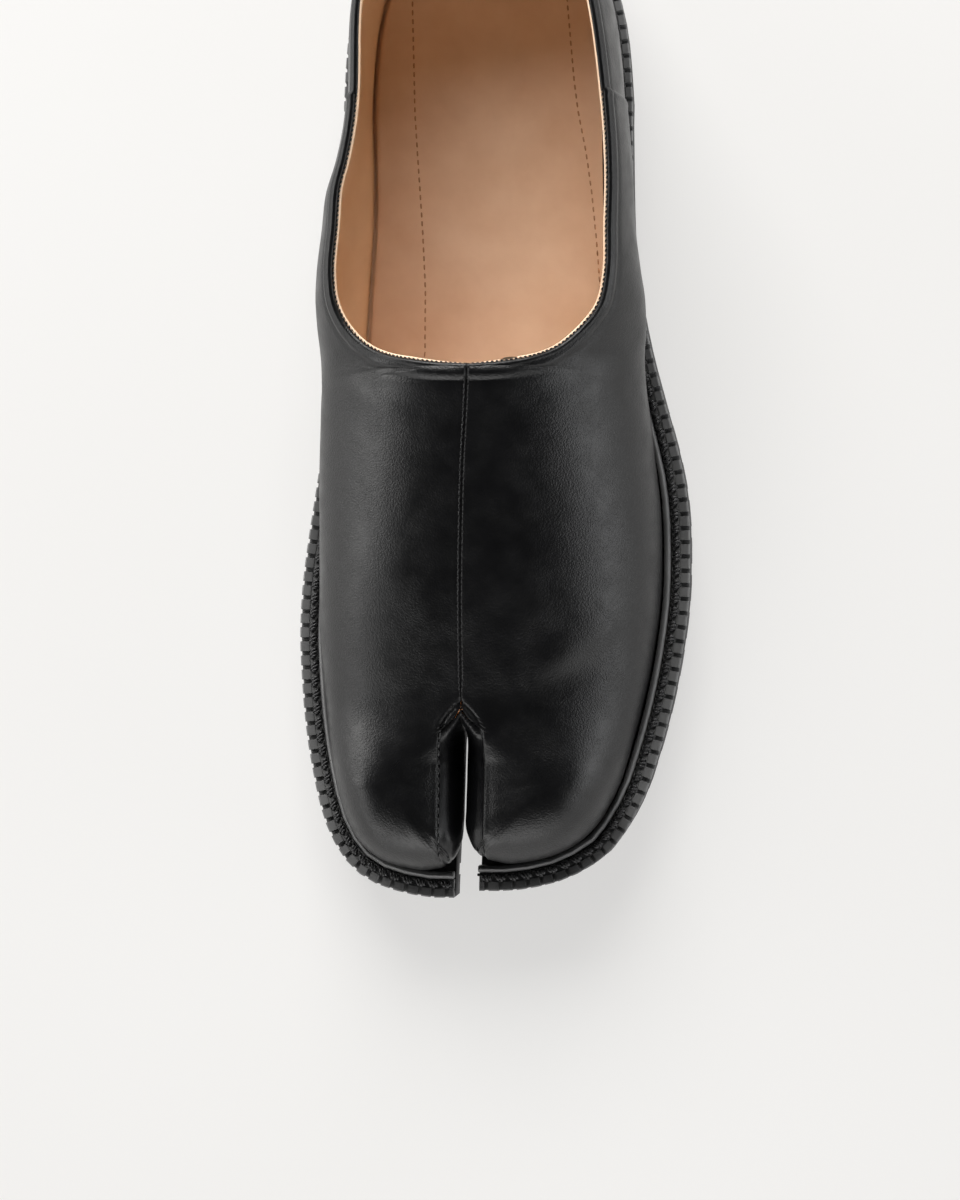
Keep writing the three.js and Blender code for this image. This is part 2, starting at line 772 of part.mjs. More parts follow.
function makeWelt() {
  const ribs = Math.round(outlineLength / RIB_PITCH);
  const points = [];
  const triangles = [];
  const put = (u, distance, z) => {
    const point = insetPoint(u, distance);
    points.push(toPart(point.x, point.y, z));
    return points.length - 1;
  };
  const notchHalf = NOTCH_WIDTH / 2 / outlineLength;
  const stations = [];
  for (let k = 0; k < ribs; k++) {
    const middle = (k + 0.5) / ribs;
    stations.push({ u: k / ribs, deep: false, spine: true });
    stations.push({ u: middle - notchHalf, deep: false, spine: false });
    stations.push({ u: middle, deep: true, spine: false });
    stations.push({ u: middle + notchHalf, deep: false, spine: false });
  }
  stations.push({ u: 1, deep: false, spine: true });
  const outerTop = [];
  const outerLow = [];
  const innerTop = [];
  const innerLow = [];
  for (const { u, deep, spine: onRib } of stations) {
    const s = outline.getPointAt(u).y;
    const scale = featherInset(s) / WELT_WIDTH;
    const distance = deep ? RIB_BAND * scale : 0;
    const low = soleTop(s) + SEAM_GAP;
    outerTop.push(put(u, distance, weltTop(s)));
    outerLow.push(put(u, distance, low));
    if (onRib) {
      const back = (RIB_BAND + STITCH_BAND) * scale;
      innerTop.push(put(u, back, weltTop(s) - STITCH_BAND_DROP));
      innerLow.push(put(u, back, low));
    }
  }
  for (let k = 0; k < ribs; k++) {
    const first = 4 * k;
    for (let m = first; m < first + 4; m++) {
      triangles.push([outerLow[m], outerLow[m + 1], outerTop[m + 1]]);
      triangles.push([outerLow[m], outerTop[m + 1], outerTop[m]]);
    }
    triangles.push([innerLow[k], innerTop[k + 1], innerLow[k + 1]]);
    triangles.push([innerLow[k], innerTop[k], innerTop[k + 1]]);
    const fan = [[0, 1], [1, 2]];
    for (const [a, b] of fan) {
      triangles.push([innerTop[k], outerTop[first + a], outerTop[first + b]]);
      triangles.push([innerLow[k], outerLow[first + b], outerLow[first + a]]);
    }
    triangles.push([innerTop[k], outerTop[first + 2], innerTop[k + 1]]);
    triangles.push([innerLow[k], innerLow[k + 1], outerLow[first + 2]]);
    for (const [a, b] of [[2, 3], [3, 4]]) {
      triangles.push([innerTop[k + 1], outerTop[first + a], outerTop[first + b]]);
      triangles.push([innerLow[k + 1], outerLow[first + b], outerLow[first + a]]);
    }
  }
  const end = outerTop.length - 1;
  triangles.push([outerTop[0], innerTop[0], innerLow[0]]);
  triangles.push([outerTop[0], innerLow[0], outerLow[0]]);
  triangles.push([outerTop[end], innerLow[ribs], innerTop[ribs]]);
  triangles.push([outerTop[end], outerLow[end], innerLow[ribs]]);
  return fromTriangles(points, triangles);
}

// Plan of the sole, moved inwards by a distance, with the toe slot cut in.
function planPoints(distance, slotHalf, slotEnd, steps) {
  const plan = [];
  for (let k = 0; k <= steps; k++) {
    const u = k / steps;
    const inset = typeof distance === 'function' ? distance(u) : distance;
    plan.push(insetPoint(u, inset));
  }
  const kept = plan.filter((point) => {
    const side = Math.sign(point.x - seamX(point.y)) || 1;
    return point.y < LENGTH / 2 || side * (point.x - seamX(point.y)) > slotHalf + 0.2;
  });
  const roundSteps = 8;
  const slot = [];
  const front = kept[kept.length - 1];
  slot.push(new THREE.Vector2(seamX(front.y) + slotHalf, front.y));
  for (let k = 0; k <= roundSteps; k++) {
    const angle = (k / roundSteps) * Math.PI;
    const s = slotEnd - slotHalf * Math.sin(angle);
    slot.push(new THREE.Vector2(seamX(slotEnd) + slotHalf * Math.cos(angle), s));
  }
  const start = kept[0];
  slot.push(new THREE.Vector2(seamX(start.y) - slotHalf, start.y));
  return [...kept, ...slot];
}

// Upright prism over a plan, from a low to a high level.
function planPrism(points, low, high) {
  const shape = new THREE.Shape(points.map((point) => new THREE.Vector2(point.x - centreX, LENGTH / 2 - point.y)));
  const geometry = new THREE.ExtrudeGeometry(shape, { depth: high - low, bevelEnabled: false });
  geometry.translate(0, 0, low);
  return toSolid(geometry);
}

// Prism across the whole shoe from a side view: points are station and height.
function sidePrism(profile) {
  const shape = new THREE.Shape(profile.map(([s, z]) => new THREE.Vector2(LENGTH / 2 - s, z)));
  const geometry = new THREE.ExtrudeGeometry(shape, { depth: 2 * BALL_WIDTH, bevelEnabled: false });
  geometry.translate(0, 0, -BALL_WIDTH);
  const frame = new THREE.Matrix4().makeBasis(
    new THREE.Vector3(0, 1, 0),
    new THREE.Vector3(0, 0, 1),
    new THREE.Vector3(1, 0, 0),
  );
  geometry.applyMatrix4(frame);
  return toSolid(geometry);
}

function stationsBetween(from, to, step) {
  const count = Math.max(1, Math.round(Math.abs(to - from) / step));
  return Array.from({ length: count + 1 }, (_, k) => lerp(from, to, k / count));
}

function makeOutsole() {
  const plan = planPrism(planPoints(0, SLOT_WIDTH / 2, SLOT_END_STATION, OUTSOLE_STEPS), -OVERRUN, 2 * INSTEP_HEIGHT);
  const profile = [];
  for (const s of stationsBetween(-OVERRUN, LENGTH + OVERRUN, PROFILE_STEP)) profile.push([s, soleTop(s)]);
  for (const s of stationsBetween(LENGTH + OVERRUN, LENGTH * SOLE_BOTTOM[0][0], PROFILE_STEP)) {
    profile.push([s, soleBottom(s)]);
  }
  for (const s of stationsBetween(HEEL_BREAST_STATION, -OVERRUN, PROFILE_STEP)) {
    profile.push([s, soleTop(s) - HEEL_SEAT_THICKNESS]);
  }
  let solid = plan.intersect(sidePrism(profile));
  for (let s = FIRST_LUG_SHARE * LENGTH; s < LENGTH - LUG_PITCH / 2; s += LUG_PITCH) {
    const a = s;
    const b = s + LUG_GROOVE_WIDTH;
    const groove = [
      [a, -OVERRUN],
      [b, -OVERRUN],
      [b, soleBottom(b) + LUG_HEIGHT],
      [a, soleBottom(a) + LUG_HEIGHT],
    ];
    solid = solid.subtract(sidePrism(groove));
  }
  return fromSolid(solid);
}

function heelPlan(taper, steps) {
  const points = [];
  const all = outline.getSpacedPoints(steps);
  all.forEach((point, k) => {
    if (point.y < HEEL_BREAST_STATION + 2 * OVERRUN) points.push(insetPoint(k / steps, taper));
  });
  return points;
}

// Heel part between two levels, cut off by the side view of the space it fills.
function makeHeelPart(profile, grooves) {
  const plan = planPrism(heelPlan(HEEL_TAPER, HEEL_STEPS), -OVERRUN, 2 * INSTEP_HEIGHT);
  const solid = plan.intersect(sidePrism(profile));
  return fromSolid(grooves.reduce((rest, groove) => rest.subtract(sidePrism(groove)), solid));
}

function makeHeel() {
  const low = TOP_PIECE_THICKNESS + SEAM_GAP;
  const profile = [[HEEL_BREAST_STATION, low], [-OVERRUN, low]];
  for (const s of stationsBetween(-OVERRUN, HEEL_BREAST_STATION, PROFILE_STEP)) {
    profile.push([s, soleTop(s) - HEEL_SEAT_THICKNESS - SEAM_GAP]);
  }
  return makeHeelPart(profile.reverse(), []);
}

function makeTopPiece() {
  const profile = [
    [HEEL_BREAST_STATION, 0],
    [HEEL_BREAST_STATION, TOP_PIECE_THICKNESS],
    [-OVERRUN, TOP_PIECE_THICKNESS],
    [-OVERRUN, 0],
  ];
  const grooves = [];
  for (let s = LUG_PITCH; s < HEEL_BREAST_STATION - LUG_PITCH; s += LUG_PITCH) {
    grooves.push([
      [s, -OVERRUN],
      [s + LUG_GROOVE_WIDTH, -OVERRUN],
      [s + LUG_GROOVE_WIDTH, LUG_HEIGHT],
      [s, LUG_HEIGHT],
    ]);
  }
  return makeHeelPart(profile, grooves);
}

function makeInsole() {
  const distance = (u) => {
    const s = outline.getPointAt(u).y;
    const arch = smoothstep(s, LENGTH * 0.1, LENGTH * 0.25) * (1 - smoothstep(s, LENGTH * 0.5, LENGTH * 0.62));
    const sideGap = u < heelShareU ? INSOLE_SIDE_GAP * arch : (INSOLE_SIDE_GAP * arch) / 3;
    return featherInset(s) + WALL + INSOLE_FIT + sideGap;
  };
  const half = gussetHalf + WALL + INSOLE_FIT;
  const plan = planPrism(planPoints(distance, half, SLOT_END_STATION - WALL, INSOLE_STEPS), 0, 2 * INSTEP_HEIGHT);
  const profile = [];
  const stations = stationsBetween(0, LENGTH, PROFILE_STEP);
  for (const s of stations) profile.push([s, soleTop(s) + SEAM_GAP + INSOLE_THICKNESS]);
  for (const s of stations.reverse()) profile.push([s, soleTop(s) + SEAM_GAP]);
  return fromSolid(plan.intersect(sidePrism(profile)));
}

// Finishes
const blackLeather = { color: 0x141517, roughness: 0.42, metalness: 0 };
const tanLeather = { color: 0xb58a66, roughness: 0.6, metalness: 0 };
const weltRubber = { color: 0x1b1c1f, roughness: 0.6, metalness: 0 };
const soleRubber = { color: 0x202124, roughness: 0.7, metalness: 0 };

function part(name, geometry, finish) {
  geometry.computeVertexNormals();
  const mesh = new THREE.Mesh(geometry, new THREE.MeshStandardMaterial(finish));
  mesh.name = name;
  return mesh;
}

const shoe = new THREE.Group();
shoe.add(part('upper', makeUpper(), blackLeather));
shoe.add(part('insole', makeInsole(), tanLeather));
shoe.add(part('welt_bead', makeWeltBead(), weltRubber));
shoe.add(part('welt', makeWelt(), weltRubber));
shoe.add(part('outsole', makeOutsole(), soleRubber));
shoe.add(part('heel', makeHeel(), soleRubber));
shoe.add(part('heel_top_piece', makeTopPiece(), soleRubber));

export default shoe;
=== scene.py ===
"""Looks of a split-toe slip-on shoe for the left foot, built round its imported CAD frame.

The upper is read from its CAD node as rows of points that run from the welt to the collar or the
centre seam. Fine pieces, such as the halves of the vamp, the quarter, the strip in the toe slot and
the lining, are smooth surfaces through those rows. Lengths here are millimetres, Blender's are metres.
"""

from __future__ import annotations

import logging
import math
from dataclasses import dataclass, field
from enum import Enum
from typing import Any, Callable, Optional, Sequence

import bmesh
import bpy
import numpy as np
from mathutils import Matrix, Vector

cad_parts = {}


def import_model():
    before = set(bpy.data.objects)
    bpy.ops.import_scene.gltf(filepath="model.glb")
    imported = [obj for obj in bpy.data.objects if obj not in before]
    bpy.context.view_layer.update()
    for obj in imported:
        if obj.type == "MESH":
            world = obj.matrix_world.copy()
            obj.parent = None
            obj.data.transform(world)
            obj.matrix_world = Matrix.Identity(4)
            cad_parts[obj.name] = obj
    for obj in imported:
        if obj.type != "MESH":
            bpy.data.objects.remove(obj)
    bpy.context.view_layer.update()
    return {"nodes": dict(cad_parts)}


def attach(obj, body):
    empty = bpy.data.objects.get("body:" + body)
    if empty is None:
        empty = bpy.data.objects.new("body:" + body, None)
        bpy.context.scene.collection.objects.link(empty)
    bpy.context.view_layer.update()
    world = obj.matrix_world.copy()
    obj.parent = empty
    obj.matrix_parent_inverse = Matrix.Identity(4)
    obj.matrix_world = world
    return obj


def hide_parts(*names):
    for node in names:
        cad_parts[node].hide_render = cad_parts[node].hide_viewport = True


LOG = logging.getLogger("scene")
MM = 0.001
BODY = "root"
TINY = 1e-12
FAR = 1e9
MERGE_DISTANCE = 0.002
LEAST_AREA = 1e-5
SLOT_HALF = 4.3
UPWARD = 0.8
SPAN_SLACK = 1e-4
Array = np.ndarray


class Slot(str, Enum):
    """The record's material slots."""

    UPPER = "upper_leather"
    INSOLE = "insole_leather"
    WELT = "welt_rubber"
    SOLE = "sole_rubber"


class Side(Enum):
    """Halves of the shoe, as the sign of x."""

    INNER = -1
    OUTER = 1


# Geometry helpers


def unit(v: Array) -> Array:
    """Scales vectors along the last axis to length one; zero stays zero."""
    length = np.linalg.norm(v, axis=-1, keepdims=True)
    return v / np.where(length < TINY, 1.0, length)


def ways(line: Array) -> Array:
    """Length of a polyline from its start to each of its corners."""
    return np.concatenate([[0.0], np.cumsum(np.linalg.norm(np.diff(line, axis=0), axis=1))])


def along_line(where: Array, way: Array, values: Array) -> Array:
    """Values of shape (n, 3), known at ways along a line, between those ways."""
    return np.stack([np.interp(where, way, values[:, k]) for k in range(3)], axis=-1)


def triangle_cross(points: Array, triangles: Array) -> Array:
    """Cross products of the triangles' sides: their normals, twice their areas long."""
    first, second, third = (points[triangles[:, k]] for k in range(3))
    return np.cross(second - first, third - first)


def hermite(t: Array, h: Array, start: Array, leave: Array, end: Array, enter: Array) -> Array:
    """Cubic between two points with given slopes.

    Args:
        t: Share of the way, 0 to 1.
        h: Length of the way.
        start: Points at 0.
        leave: Slopes at 0.
        end: Points at 1.
        enter: Slopes at 1.

    Returns:
        The points at t.
    """
    return (
        (2 * t**3 - 3 * t**2 + 1) * start
        + (t**3 - 2 * t**2 + t) * h * leave
        + (3 * t**2 - 2 * t**3) * end
        + (t**3 - t**2) * h * enter
    )


def smooth(x: Array, low: float, high: float) -> Array:
    """Smooth step from 0 at low to 1 at high, which may lie below low."""
    t = np.clip((x - low) / (high - low), 0.0, 1.0)
    return t * t * (3 - 2 * t)


def hump(x: Array, centre: float, width: float) -> Array:
    """Bell curve of height one, whose half width is where it falls to 1/e."""
    return np.exp(-(((x - centre) / width) ** 2))


def polyline_distance(points: Array, line: Array) -> tuple[Array, Array]:
    """Distance of plan points to a polyline.

    Args:
        points: Points, shape (..., 2).
        line: The polyline's corners, shape (n, 2).

    Returns:
        The distance, and the share of the line's length at the nearest place.
    """
    step = np.diff(line, axis=0)
    start = ways(line)
    size = np.diff(start)
    best = np.full(points.shape[:-1], FAR)
    share = np.zeros(points.shape[:-1])
    for k in range(len(step)):
        t = np.clip(((points - line[k]) @ step[k]) / max(size[k] ** 2, TINY), 0, 1)
        gap = np.linalg.norm(points - (line[k] + t[..., None] * step[k]), axis=-1)
        nearer = gap < best
        best = np.where(nearer, gap, best)
        share = np.where(nearer, (start[k] + t * size[k]) / start[-1], share)
    return best, share


def grid_normals(grid: Array) -> Array:
    """Unit normals of a grid of points of shape (rows, columns, 3)."""
    return unit(np.cross(np.gradient(grid, axis=0), np.gradient(grid, axis=1)))


def make_object(
    name: str, points: Array, faces: Sequence[Sequence[int]], normals: Optional[Array] = None
) -> bpy.types.Object:
    """Makes a smooth-shaded mesh object.

    Args:
        name: Name of the piece.
        points: Vertices in millimetres, shape (n, 3).
        faces: Vertex numbers of each face.
        normals: Shading normals of the vertices.

    Returns:
        The object, linked to the scene.
    """
    mesh = bpy.data.meshes.new(name)
    mesh.from_pydata((np.asarray(points) * MM).tolist(), [], [list(map(int, f)) for f in faces])
    mesh.shade_smooth()
    if normals is not None:
        mesh.normals_split_custom_set_from_vertices(np.asarray(normals).tolist())
    obj = bpy.data.objects.new(name, mesh)
    bpy.context.scene.collection.objects.link(obj)
    return obj


def grid_faces(rows: int, columns: int) -> list[tuple[int, ...]]:
    """Quads of a grid whose rows are stored one after another."""
    starts = [row * columns + column for row in range(rows - 1) for column in range(columns - 1)]
    return [(k, k + columns, k + columns + 1, k + 1) for k in starts]


@dataclass
class Patches:
    """Grids of points that together make one piece."""

    points: list[Array] = field(default_factory=list)
    normals: list[Array] = field(default_factory=list)
    faces: list[tuple[int, ...]] = field(default_factory=list)
    count: int = 0

    def add(self, grid: Array, flip: bool = False, normals: Optional[Array] = None) -> None:
        """Adds a grid of points as quads, and leaves out quads without area.

        Args:
            grid: Points, shape (rows, columns, 3).
            flip: Whether the faces point the other way.
            normals: Shading normals; worked out from the grid when left out.
        """
        flat = grid.reshape(-1, 3)
        if normals is None:
            normals = grid_normals(grid) * (-1.0 if flip else 1.0)
        for face in grid_faces(grid.shape[0], grid.shape[1]):
            a, b, c, d = (flat[v] for v in face)
            if np.linalg.norm(np.cross(c - a, d - b)) > LEAST_AREA:
                turned = face[::-1] if flip else face
                self.faces.append(tuple(v + self.count for v in turned))
        self.points.append(flat)
        self.normals.append(normals.reshape(-1, 3))
        self.count += len(flat)

    def build(self, name: str) -> bpy.types.Object:
        """Makes the object under its name."""
        return make_object(name, np.concatenate(self.points), self.faces, np.concatenate(self.normals))


def threads(name: str, start: Array, end: Array, up: Array, radius: float, arch: float) -> bpy.types.Object:
    """Short threads that arch from one point to another, in one mesh.

    Args:
        name: Name of the piece.
        start: First points, shape (n, 3).
        end: Last points, shape (n, 3).
        up: Direction of each arch, shape (n, 3).
        radius: Thread radius.
        arch: Height of the arch.

    Returns:
        The object.
    """
    stops = np.array([0.0, 0.12, 0.5, 0.88, 1.0])
    sizes = np.array([0.35, 0.9, 1.0, 0.9, 0.35])
    sides = 6
    along = unit(end - start)
    across = unit(np.cross(along, up))
    lift = np.cross(across, along)
    angle = np.arange(sides) / sides * 2 * np.pi
    centre = start[:, None] + (end - start)[:, None] * stops[None, :, None]
    centre = centre + up[:, None] * (arch * 4 * stops * (1 - stops))[None, :, None]
    circle = np.cos(angle)[:, None] * across[:, None, None] + np.sin(angle)[:, None] * lift[:, None, None]
    points = centre[:, :, None] + circle * (radius * sizes)[None, :, None, None]
    faces: list[tuple[int, ...]] = []
    per = len(stops) * sides
    for m in range(len(start)):
        base = m * per
        for r in range(len(stops) - 1):
            for k in range(sides):
                n = (k + 1) % sides
                a = base + r * sides
                faces.append((a + k, a + n, a + sides + n, a + sides + k))
        faces.append(tuple(base + k for k in range(sides))[::-1])
        faces.append(tuple(base + per - sides + k for k in range(sides)))
    return make_object(name, points.reshape(-1, 3), faces)


def dashes(line: Array, up: Array, pitch: float, share: float) -> tuple[Array, Array, Array]:
    """Stitch ends along a line.

    Args:
        line: The line, shape (n, 3).
        up: Surface normal at each of its points.
        pitch: Distance between stitches.
        share: Length of a stitch as a share of the pitch.

    Returns:
        Starts, ends and normals of the stitches.
    """
    way = ways(line)
    first = (np.arange(max(1, int(way[-1] / pitch))) + (1 - share) / 2) * pitch
    last = first + share * pitch
    normal = unit(along_line((first + last) / 2, way, up))
    return along_line(first, way, line), along_line(last, way, line), normal


# The CAD frame


def node_arrays(node: bpy.types.Object) -> tuple[Array, Array]:
    """Merged vertices and triangles of a CAD node.

    Args:
        node: The node's object.

    Returns:
        Points in millimetres, and vertex numbers of the triangles.
    """
    bm = bmesh.new()
    bm.from_mesh(node.data)
    bmesh.ops.remove_doubles(bm, verts=bm.verts, dist=MERGE_DISTANCE * MM)
    bmesh.ops.triangulate(bm, faces=bm.faces)
    bm.verts.index_update()
    points = np.array([v.co for v in bm.verts]) / MM
    triangles = np.array([[v.index for v in f.verts] for f in bm.faces])
    bm.free()
    return points, triangles


def smooth_regions(points: Array, triangles: Array, limit: float) -> list[Array]:
    """Groups triangles that meet at less than an angle.

    Args:
        points: Vertices.
        triangles: Vertex numbers.
        limit: Angle in degrees.

    Returns:
        Triangles of each group, the largest area first.
    """
    cross = triangle_cross(points, triangles)
    area = np.linalg.norm(cross, axis=1)
    normal = unit(cross)
    owner: dict[tuple[int, int], int] = {}
    parent = list(range(len(triangles)))

    def root(k: int) -> int:
        while parent[k] != k:
            parent[k] = parent[parent[k]]
            k = parent[k]
        return k

    least = math.cos(math.radians(limit)) - 1e-6
    for k, (a, b, c) in enumerate(triangles):
        for edge in ((a, b), (b, c), (c, a)):
            key = (min(edge), max(edge))
            if key in owner and normal[k] @ normal[owner[key]] > least:
                parent[root(k)] = root(owner[key])
            owner[key] = k
    roots = np.array([root(k) for k in range(len(triangles))])
    groups = [np.nonzero(roots == r)[0] for r in np.unique(roots)]
    groups.sort(key=lambda g: -area[g].sum())
    return [triangles[g] for g in groups]


def boundary_loops(triangles: Array) -> list[list[int]]:
    """Ordered loops of vertices round an open surface.

    Args:
        triangles: Vertex numbers.

    Returns:
        The loops.
    """
    edges = {(a, b) for t in triangles for a, b in ((t[0], t[1]), (t[1], t[2]), (t[2], t[0]))}
    following = {a: b for a, b in edges if (b, a) not in edges}
    loops = []
    while following:
        start, current = following.popitem()
        loop = [start]
        while current != start:
            loop.append(current)
            current = following.pop(current)
        loops.append(loop)
    return loops


@dataclass(frozen=True)
class CentreLine:
    """Where the halves of the upper meet, in plan: the heel's back, the seam and the toe slot."""

    y: tuple[float, ...] = (-143.0, -107.0, -88.7, -60.9, -28.6, 2.9, 60.0)
    x: tuple[float, ...] = (-6.96, -6.2, -5.55, -4.79, -3.37, -1.09, -0.98)

    def at(self, y: Array) -> Array:
        """x of the line at places along the shoe."""
        return np.interp(y, self.y, self.x)


class RowSet:
    """Smooth curves from the top of the upper down to the welt, one a row."""

    def __init__(self, points: Array, normal: Array, ridge: Array) -> None:
        """Prepares the curves.

        Args:
            points: Points of the rows from the top down, shape (rows, points, 3).
            normal: Surface normal at the top of each row.
            ridge: 1 where the surface goes on past the top, 0 at the collar.
        """
        self.points = points
        self.normal = unit(normal)
        self.ridge = ridge
        step = np.maximum(np.linalg.norm(np.diff(points, axis=1), axis=2), 1e-5)
        self.way = np.concatenate([np.zeros((len(points), 1)), np.cumsum(step, axis=1)], axis=1)
        slope = np.diff(points, axis=1) / step[..., None]
        tangent = np.empty_like(points)
        mixed = slope[:, :-1] * step[:, 1:, None] + slope[:, 1:] * step[:, :-1, None]
        tangent[:, 1:-1] = mixed / (step[:, :-1] + step[:, 1:])[..., None]
        tangent[:, 0] = slope[:, 0]
        tangent[:, -1] = slope[:, -1]
        level = tangent[:, 0] - self.normal * np.sum(tangent[:, 0] * self.normal, axis=1, keepdims=True)
        tangent[:, 0] = np.where(ridge[:, None] > 0.5, unit(level), tangent[:, 0])
        self.tangent = tangent

    @property
    def length(self) -> Array:
        """Length of each row."""
        return self.way[:, -1]

    def at(self, distance: Array) -> Array:
        """Points at distances from the top.

        Args:
            distance: Distances, shape (rows, k).

        Returns:
            Points, shape (rows, k, 3).
        """
        d = np.clip(distance, 0, self.length[:, None])
        k = np.sum(d[..., None] >= self.way[:, None, 1:-1], axis=-1)
        row = np.arange(len(d))[:, None]
        low, high = self.way[row, k], self.way[row, k + 1]
        h = (high - low)[..., None]
        t = ((d - low) / (high - low))[..., None]
        p, m = self.points, self.tangent
        return hermite(t, h, p[row, k], m[row, k], p[row, k + 1], m[row, k + 1])

    def grid(self, distance: Array) -> tuple[Array, Array]:
        """Points and normals at distances from the top.

        Args:
            distance: Distances, shape (rows, k).

        Returns:
            Points and unit normals, both (rows, k, 3).
        """
        points = self.at(distance)
        normals = grid_normals(points)
        flat = (distance[:, 0] < 1e-6) & (self.ridge > 0.5)
        normals[:, 0] = np.where(flat[:, None], self.normal, normals[:, 0])
        return points, normals


@dataclass(frozen=True)
class SeamPlaces:
    """Places of the upper's seams, from the CAD model."""

    side_seam_y: float = 72.5
    seam_reach: float = 1.0
    cuff_step: float = 0.7
    cuff_low: float = 32.0
    cuff_high: float = 36.0
    slot_rear_y: float = -60.0
    arch_tip_y: float = -88.4
    throat_y: float = 0.0
    wall: float = 2.2


class Skin:
    """The upper's outer surface as one ring of rows."""

    LEVELS = 12
    RIM_ANGLE = 40.0
    RIM_LEAST = 20
    RIM_MOST = 1000
    LOBE_Y, LOBE_LENGTH = -133.0, 12.0
    LOBE_ASIDE, LOBE_WIDTH = 6.0, 9.0
    SLOPE_LIMIT = 1.6
    CLOSEST, CLOSEST_TO_FIXED = 0.18, 0.12

    def __init__(self, node: bpy.types.Object, line: CentreLine, places: SeamPlaces) -> None:
        """Reads the rows from the CAD node.

        Args:
            node: The upper's node.
            line: Where its halves meet.
            places: Its seams.
        """
        self.line = line
        self.places = places
        points, triangles = node_arrays(node)
        groups = smooth_regions(points, triangles, self.RIM_ANGLE)
        walls = np.concatenate([g for g in groups if not self.RIM_LEAST < len(g) < self.RIM_MOST])
        self._trace(points, smooth_regions(points, walls, 180.0)[0])
        self._drop_cuff()
        self._soften_corners()
        mean = np.linalg.norm(np.diff(self.rows[:, 3:], axis=0), axis=2).mean(axis=1)
        self.ring = np.concatenate([[0.0], np.cumsum(np.maximum(mean, 1e-4))])
        self._slopes()

    def _trace(self, points: Array, triangles: Array) -> None:
        """Follows the rows up from the welt.

        Args:
            points: Vertices of the node.
            triangles: Triangles of its outer surface.
        """
        loops = sorted(boundary_loops(triangles), key=lambda loop: points[loop][:, 2].mean())
        foot, collar = loops[0], set(loops[-1])
        near: dict[int, set[int]] = {}
        for t in triangles:
            for a in t:
                near.setdefault(int(a), set()).update(int(b) for b in t if b != a)
        level = {v: 0 for v in foot}
        front = list(foot)
        while front:
            reached = []
            for a in front:
                for b in near[a]:
                    if b not in level:
                        level[b] = level[a] + 1
                        reached.append(b)
            front = reached
        above: dict[int, int] = {}
        for t in triangles:
            t = [int(v) for v in t]
            middle = points[t].mean(axis=0)
            inner = middle[0] < self.line.at(middle[1])
            low = min(level[v] for v in t)
            lows = [v for v in t if level[v] == low]
            if len(lows) == 2:
                top = next(v for v in t if level[v] != low)
                k = t.index(top)
                first, second = t[(k + 1) % 3], t[(k + 2) % 3]
                above[second if inner else first] = top
            elif len(lows) == 1:
                k = t.index(lows[0])
                above[lows[0]] = t[(k + 2) % 3] if inner else t[(k + 1) % 3]
        where = points[foot]
        aside = np.abs(where[:, 0] - self.line.at(where[:, 1]))
        in_slot = (where[:, 1] < self.places.slot_rear_y) & (aside < SLOT_HALF)
        rear = int(np.argmax(np.where(in_slot, where[:, 1], -FAR)))
        ring = foot[rear:] + foot[:rear]
        if points[ring[3]][0] > self.line.at(points[ring[3]][1]):
            ring = [ring[0]] + ring[:0:-1]
        ring.append(ring[0])
        rows = []
        for v in ring:
            row = [v]
            for _ in range(self.LEVELS):
                row.append(above[row[-1]])
            rows.append(row[::-1])
        top = np.array([row[0] for row in rows])
        self.rows = points[np.array(rows)]
        self.ridge = np.array([0.0 if int(v) in collar else 1.0 for v in top])
        cross = triangle_cross(points, triangles)
        total = np.zeros_like(points)
        for k in range(3):
            np.add.at(total, triangles[:, k], cross)
        self.normal = unit(total[top])
        LOG.info("upper: %d rows, %d levels", len(rows), max(level.values()))

    def _drop_cuff(self) -> None:
        """Takes the step at the side seams out of the rows, and keeps one row at each seam."""
        foot = self.rows[:, -1]
        seam = self.places.side_seam_y
        behind = foot[:, 1] > seam
        normals = grid_normals(self.rows)
        rise = smooth(self.rows[..., 2], self.places.cuff_low, self.places.cuff_high)[..., None]
        raised = self.rows + normals * self.places.cuff_step * rise
        self.rows = np.where(behind[:, None, None], raised, self.rows)
        reach = self.places.seam_reach
        keep = ~((np.abs(foot[:, 1] - seam) < reach) & behind)
        self.rows, self.ridge, self.normal = self.rows[keep], self.ridge[keep], self.normal[keep]
        at_seam = np.nonzero(np.abs(self.rows[:, -1, 1] - seam) < reach)[0]
        self.seam_rows = (int(at_seam[0]), int(at_seam[-1]))

    def _soften_corners(self) -> None:
        """Rounds the fold that runs up each lobe from the slot's front corner."""
        foot = self.rows[:, -1]
        level = np.linspace(0, 1, self.rows.shape[1])
        fade = (smooth(level, 0.0, 0.25) * smooth(level, 1.0, 0.8))[None, :, None]
        aside = np.abs(foot[:, 0] - self.line.at(foot[:, 1]))
        near = hump(foot[:, 1], self.LOBE_Y, self.LOBE_LENGTH) * hump(aside, self.LOBE_ASIDE, self.LOBE_WIDTH)
        mean = (self.rows[2:] + self.rows[:-2]) / 2
        self.rows[1:-1] += 0.5 * (mean - self.rows[1:-1]) * (fade * near[1:-1, None, None])

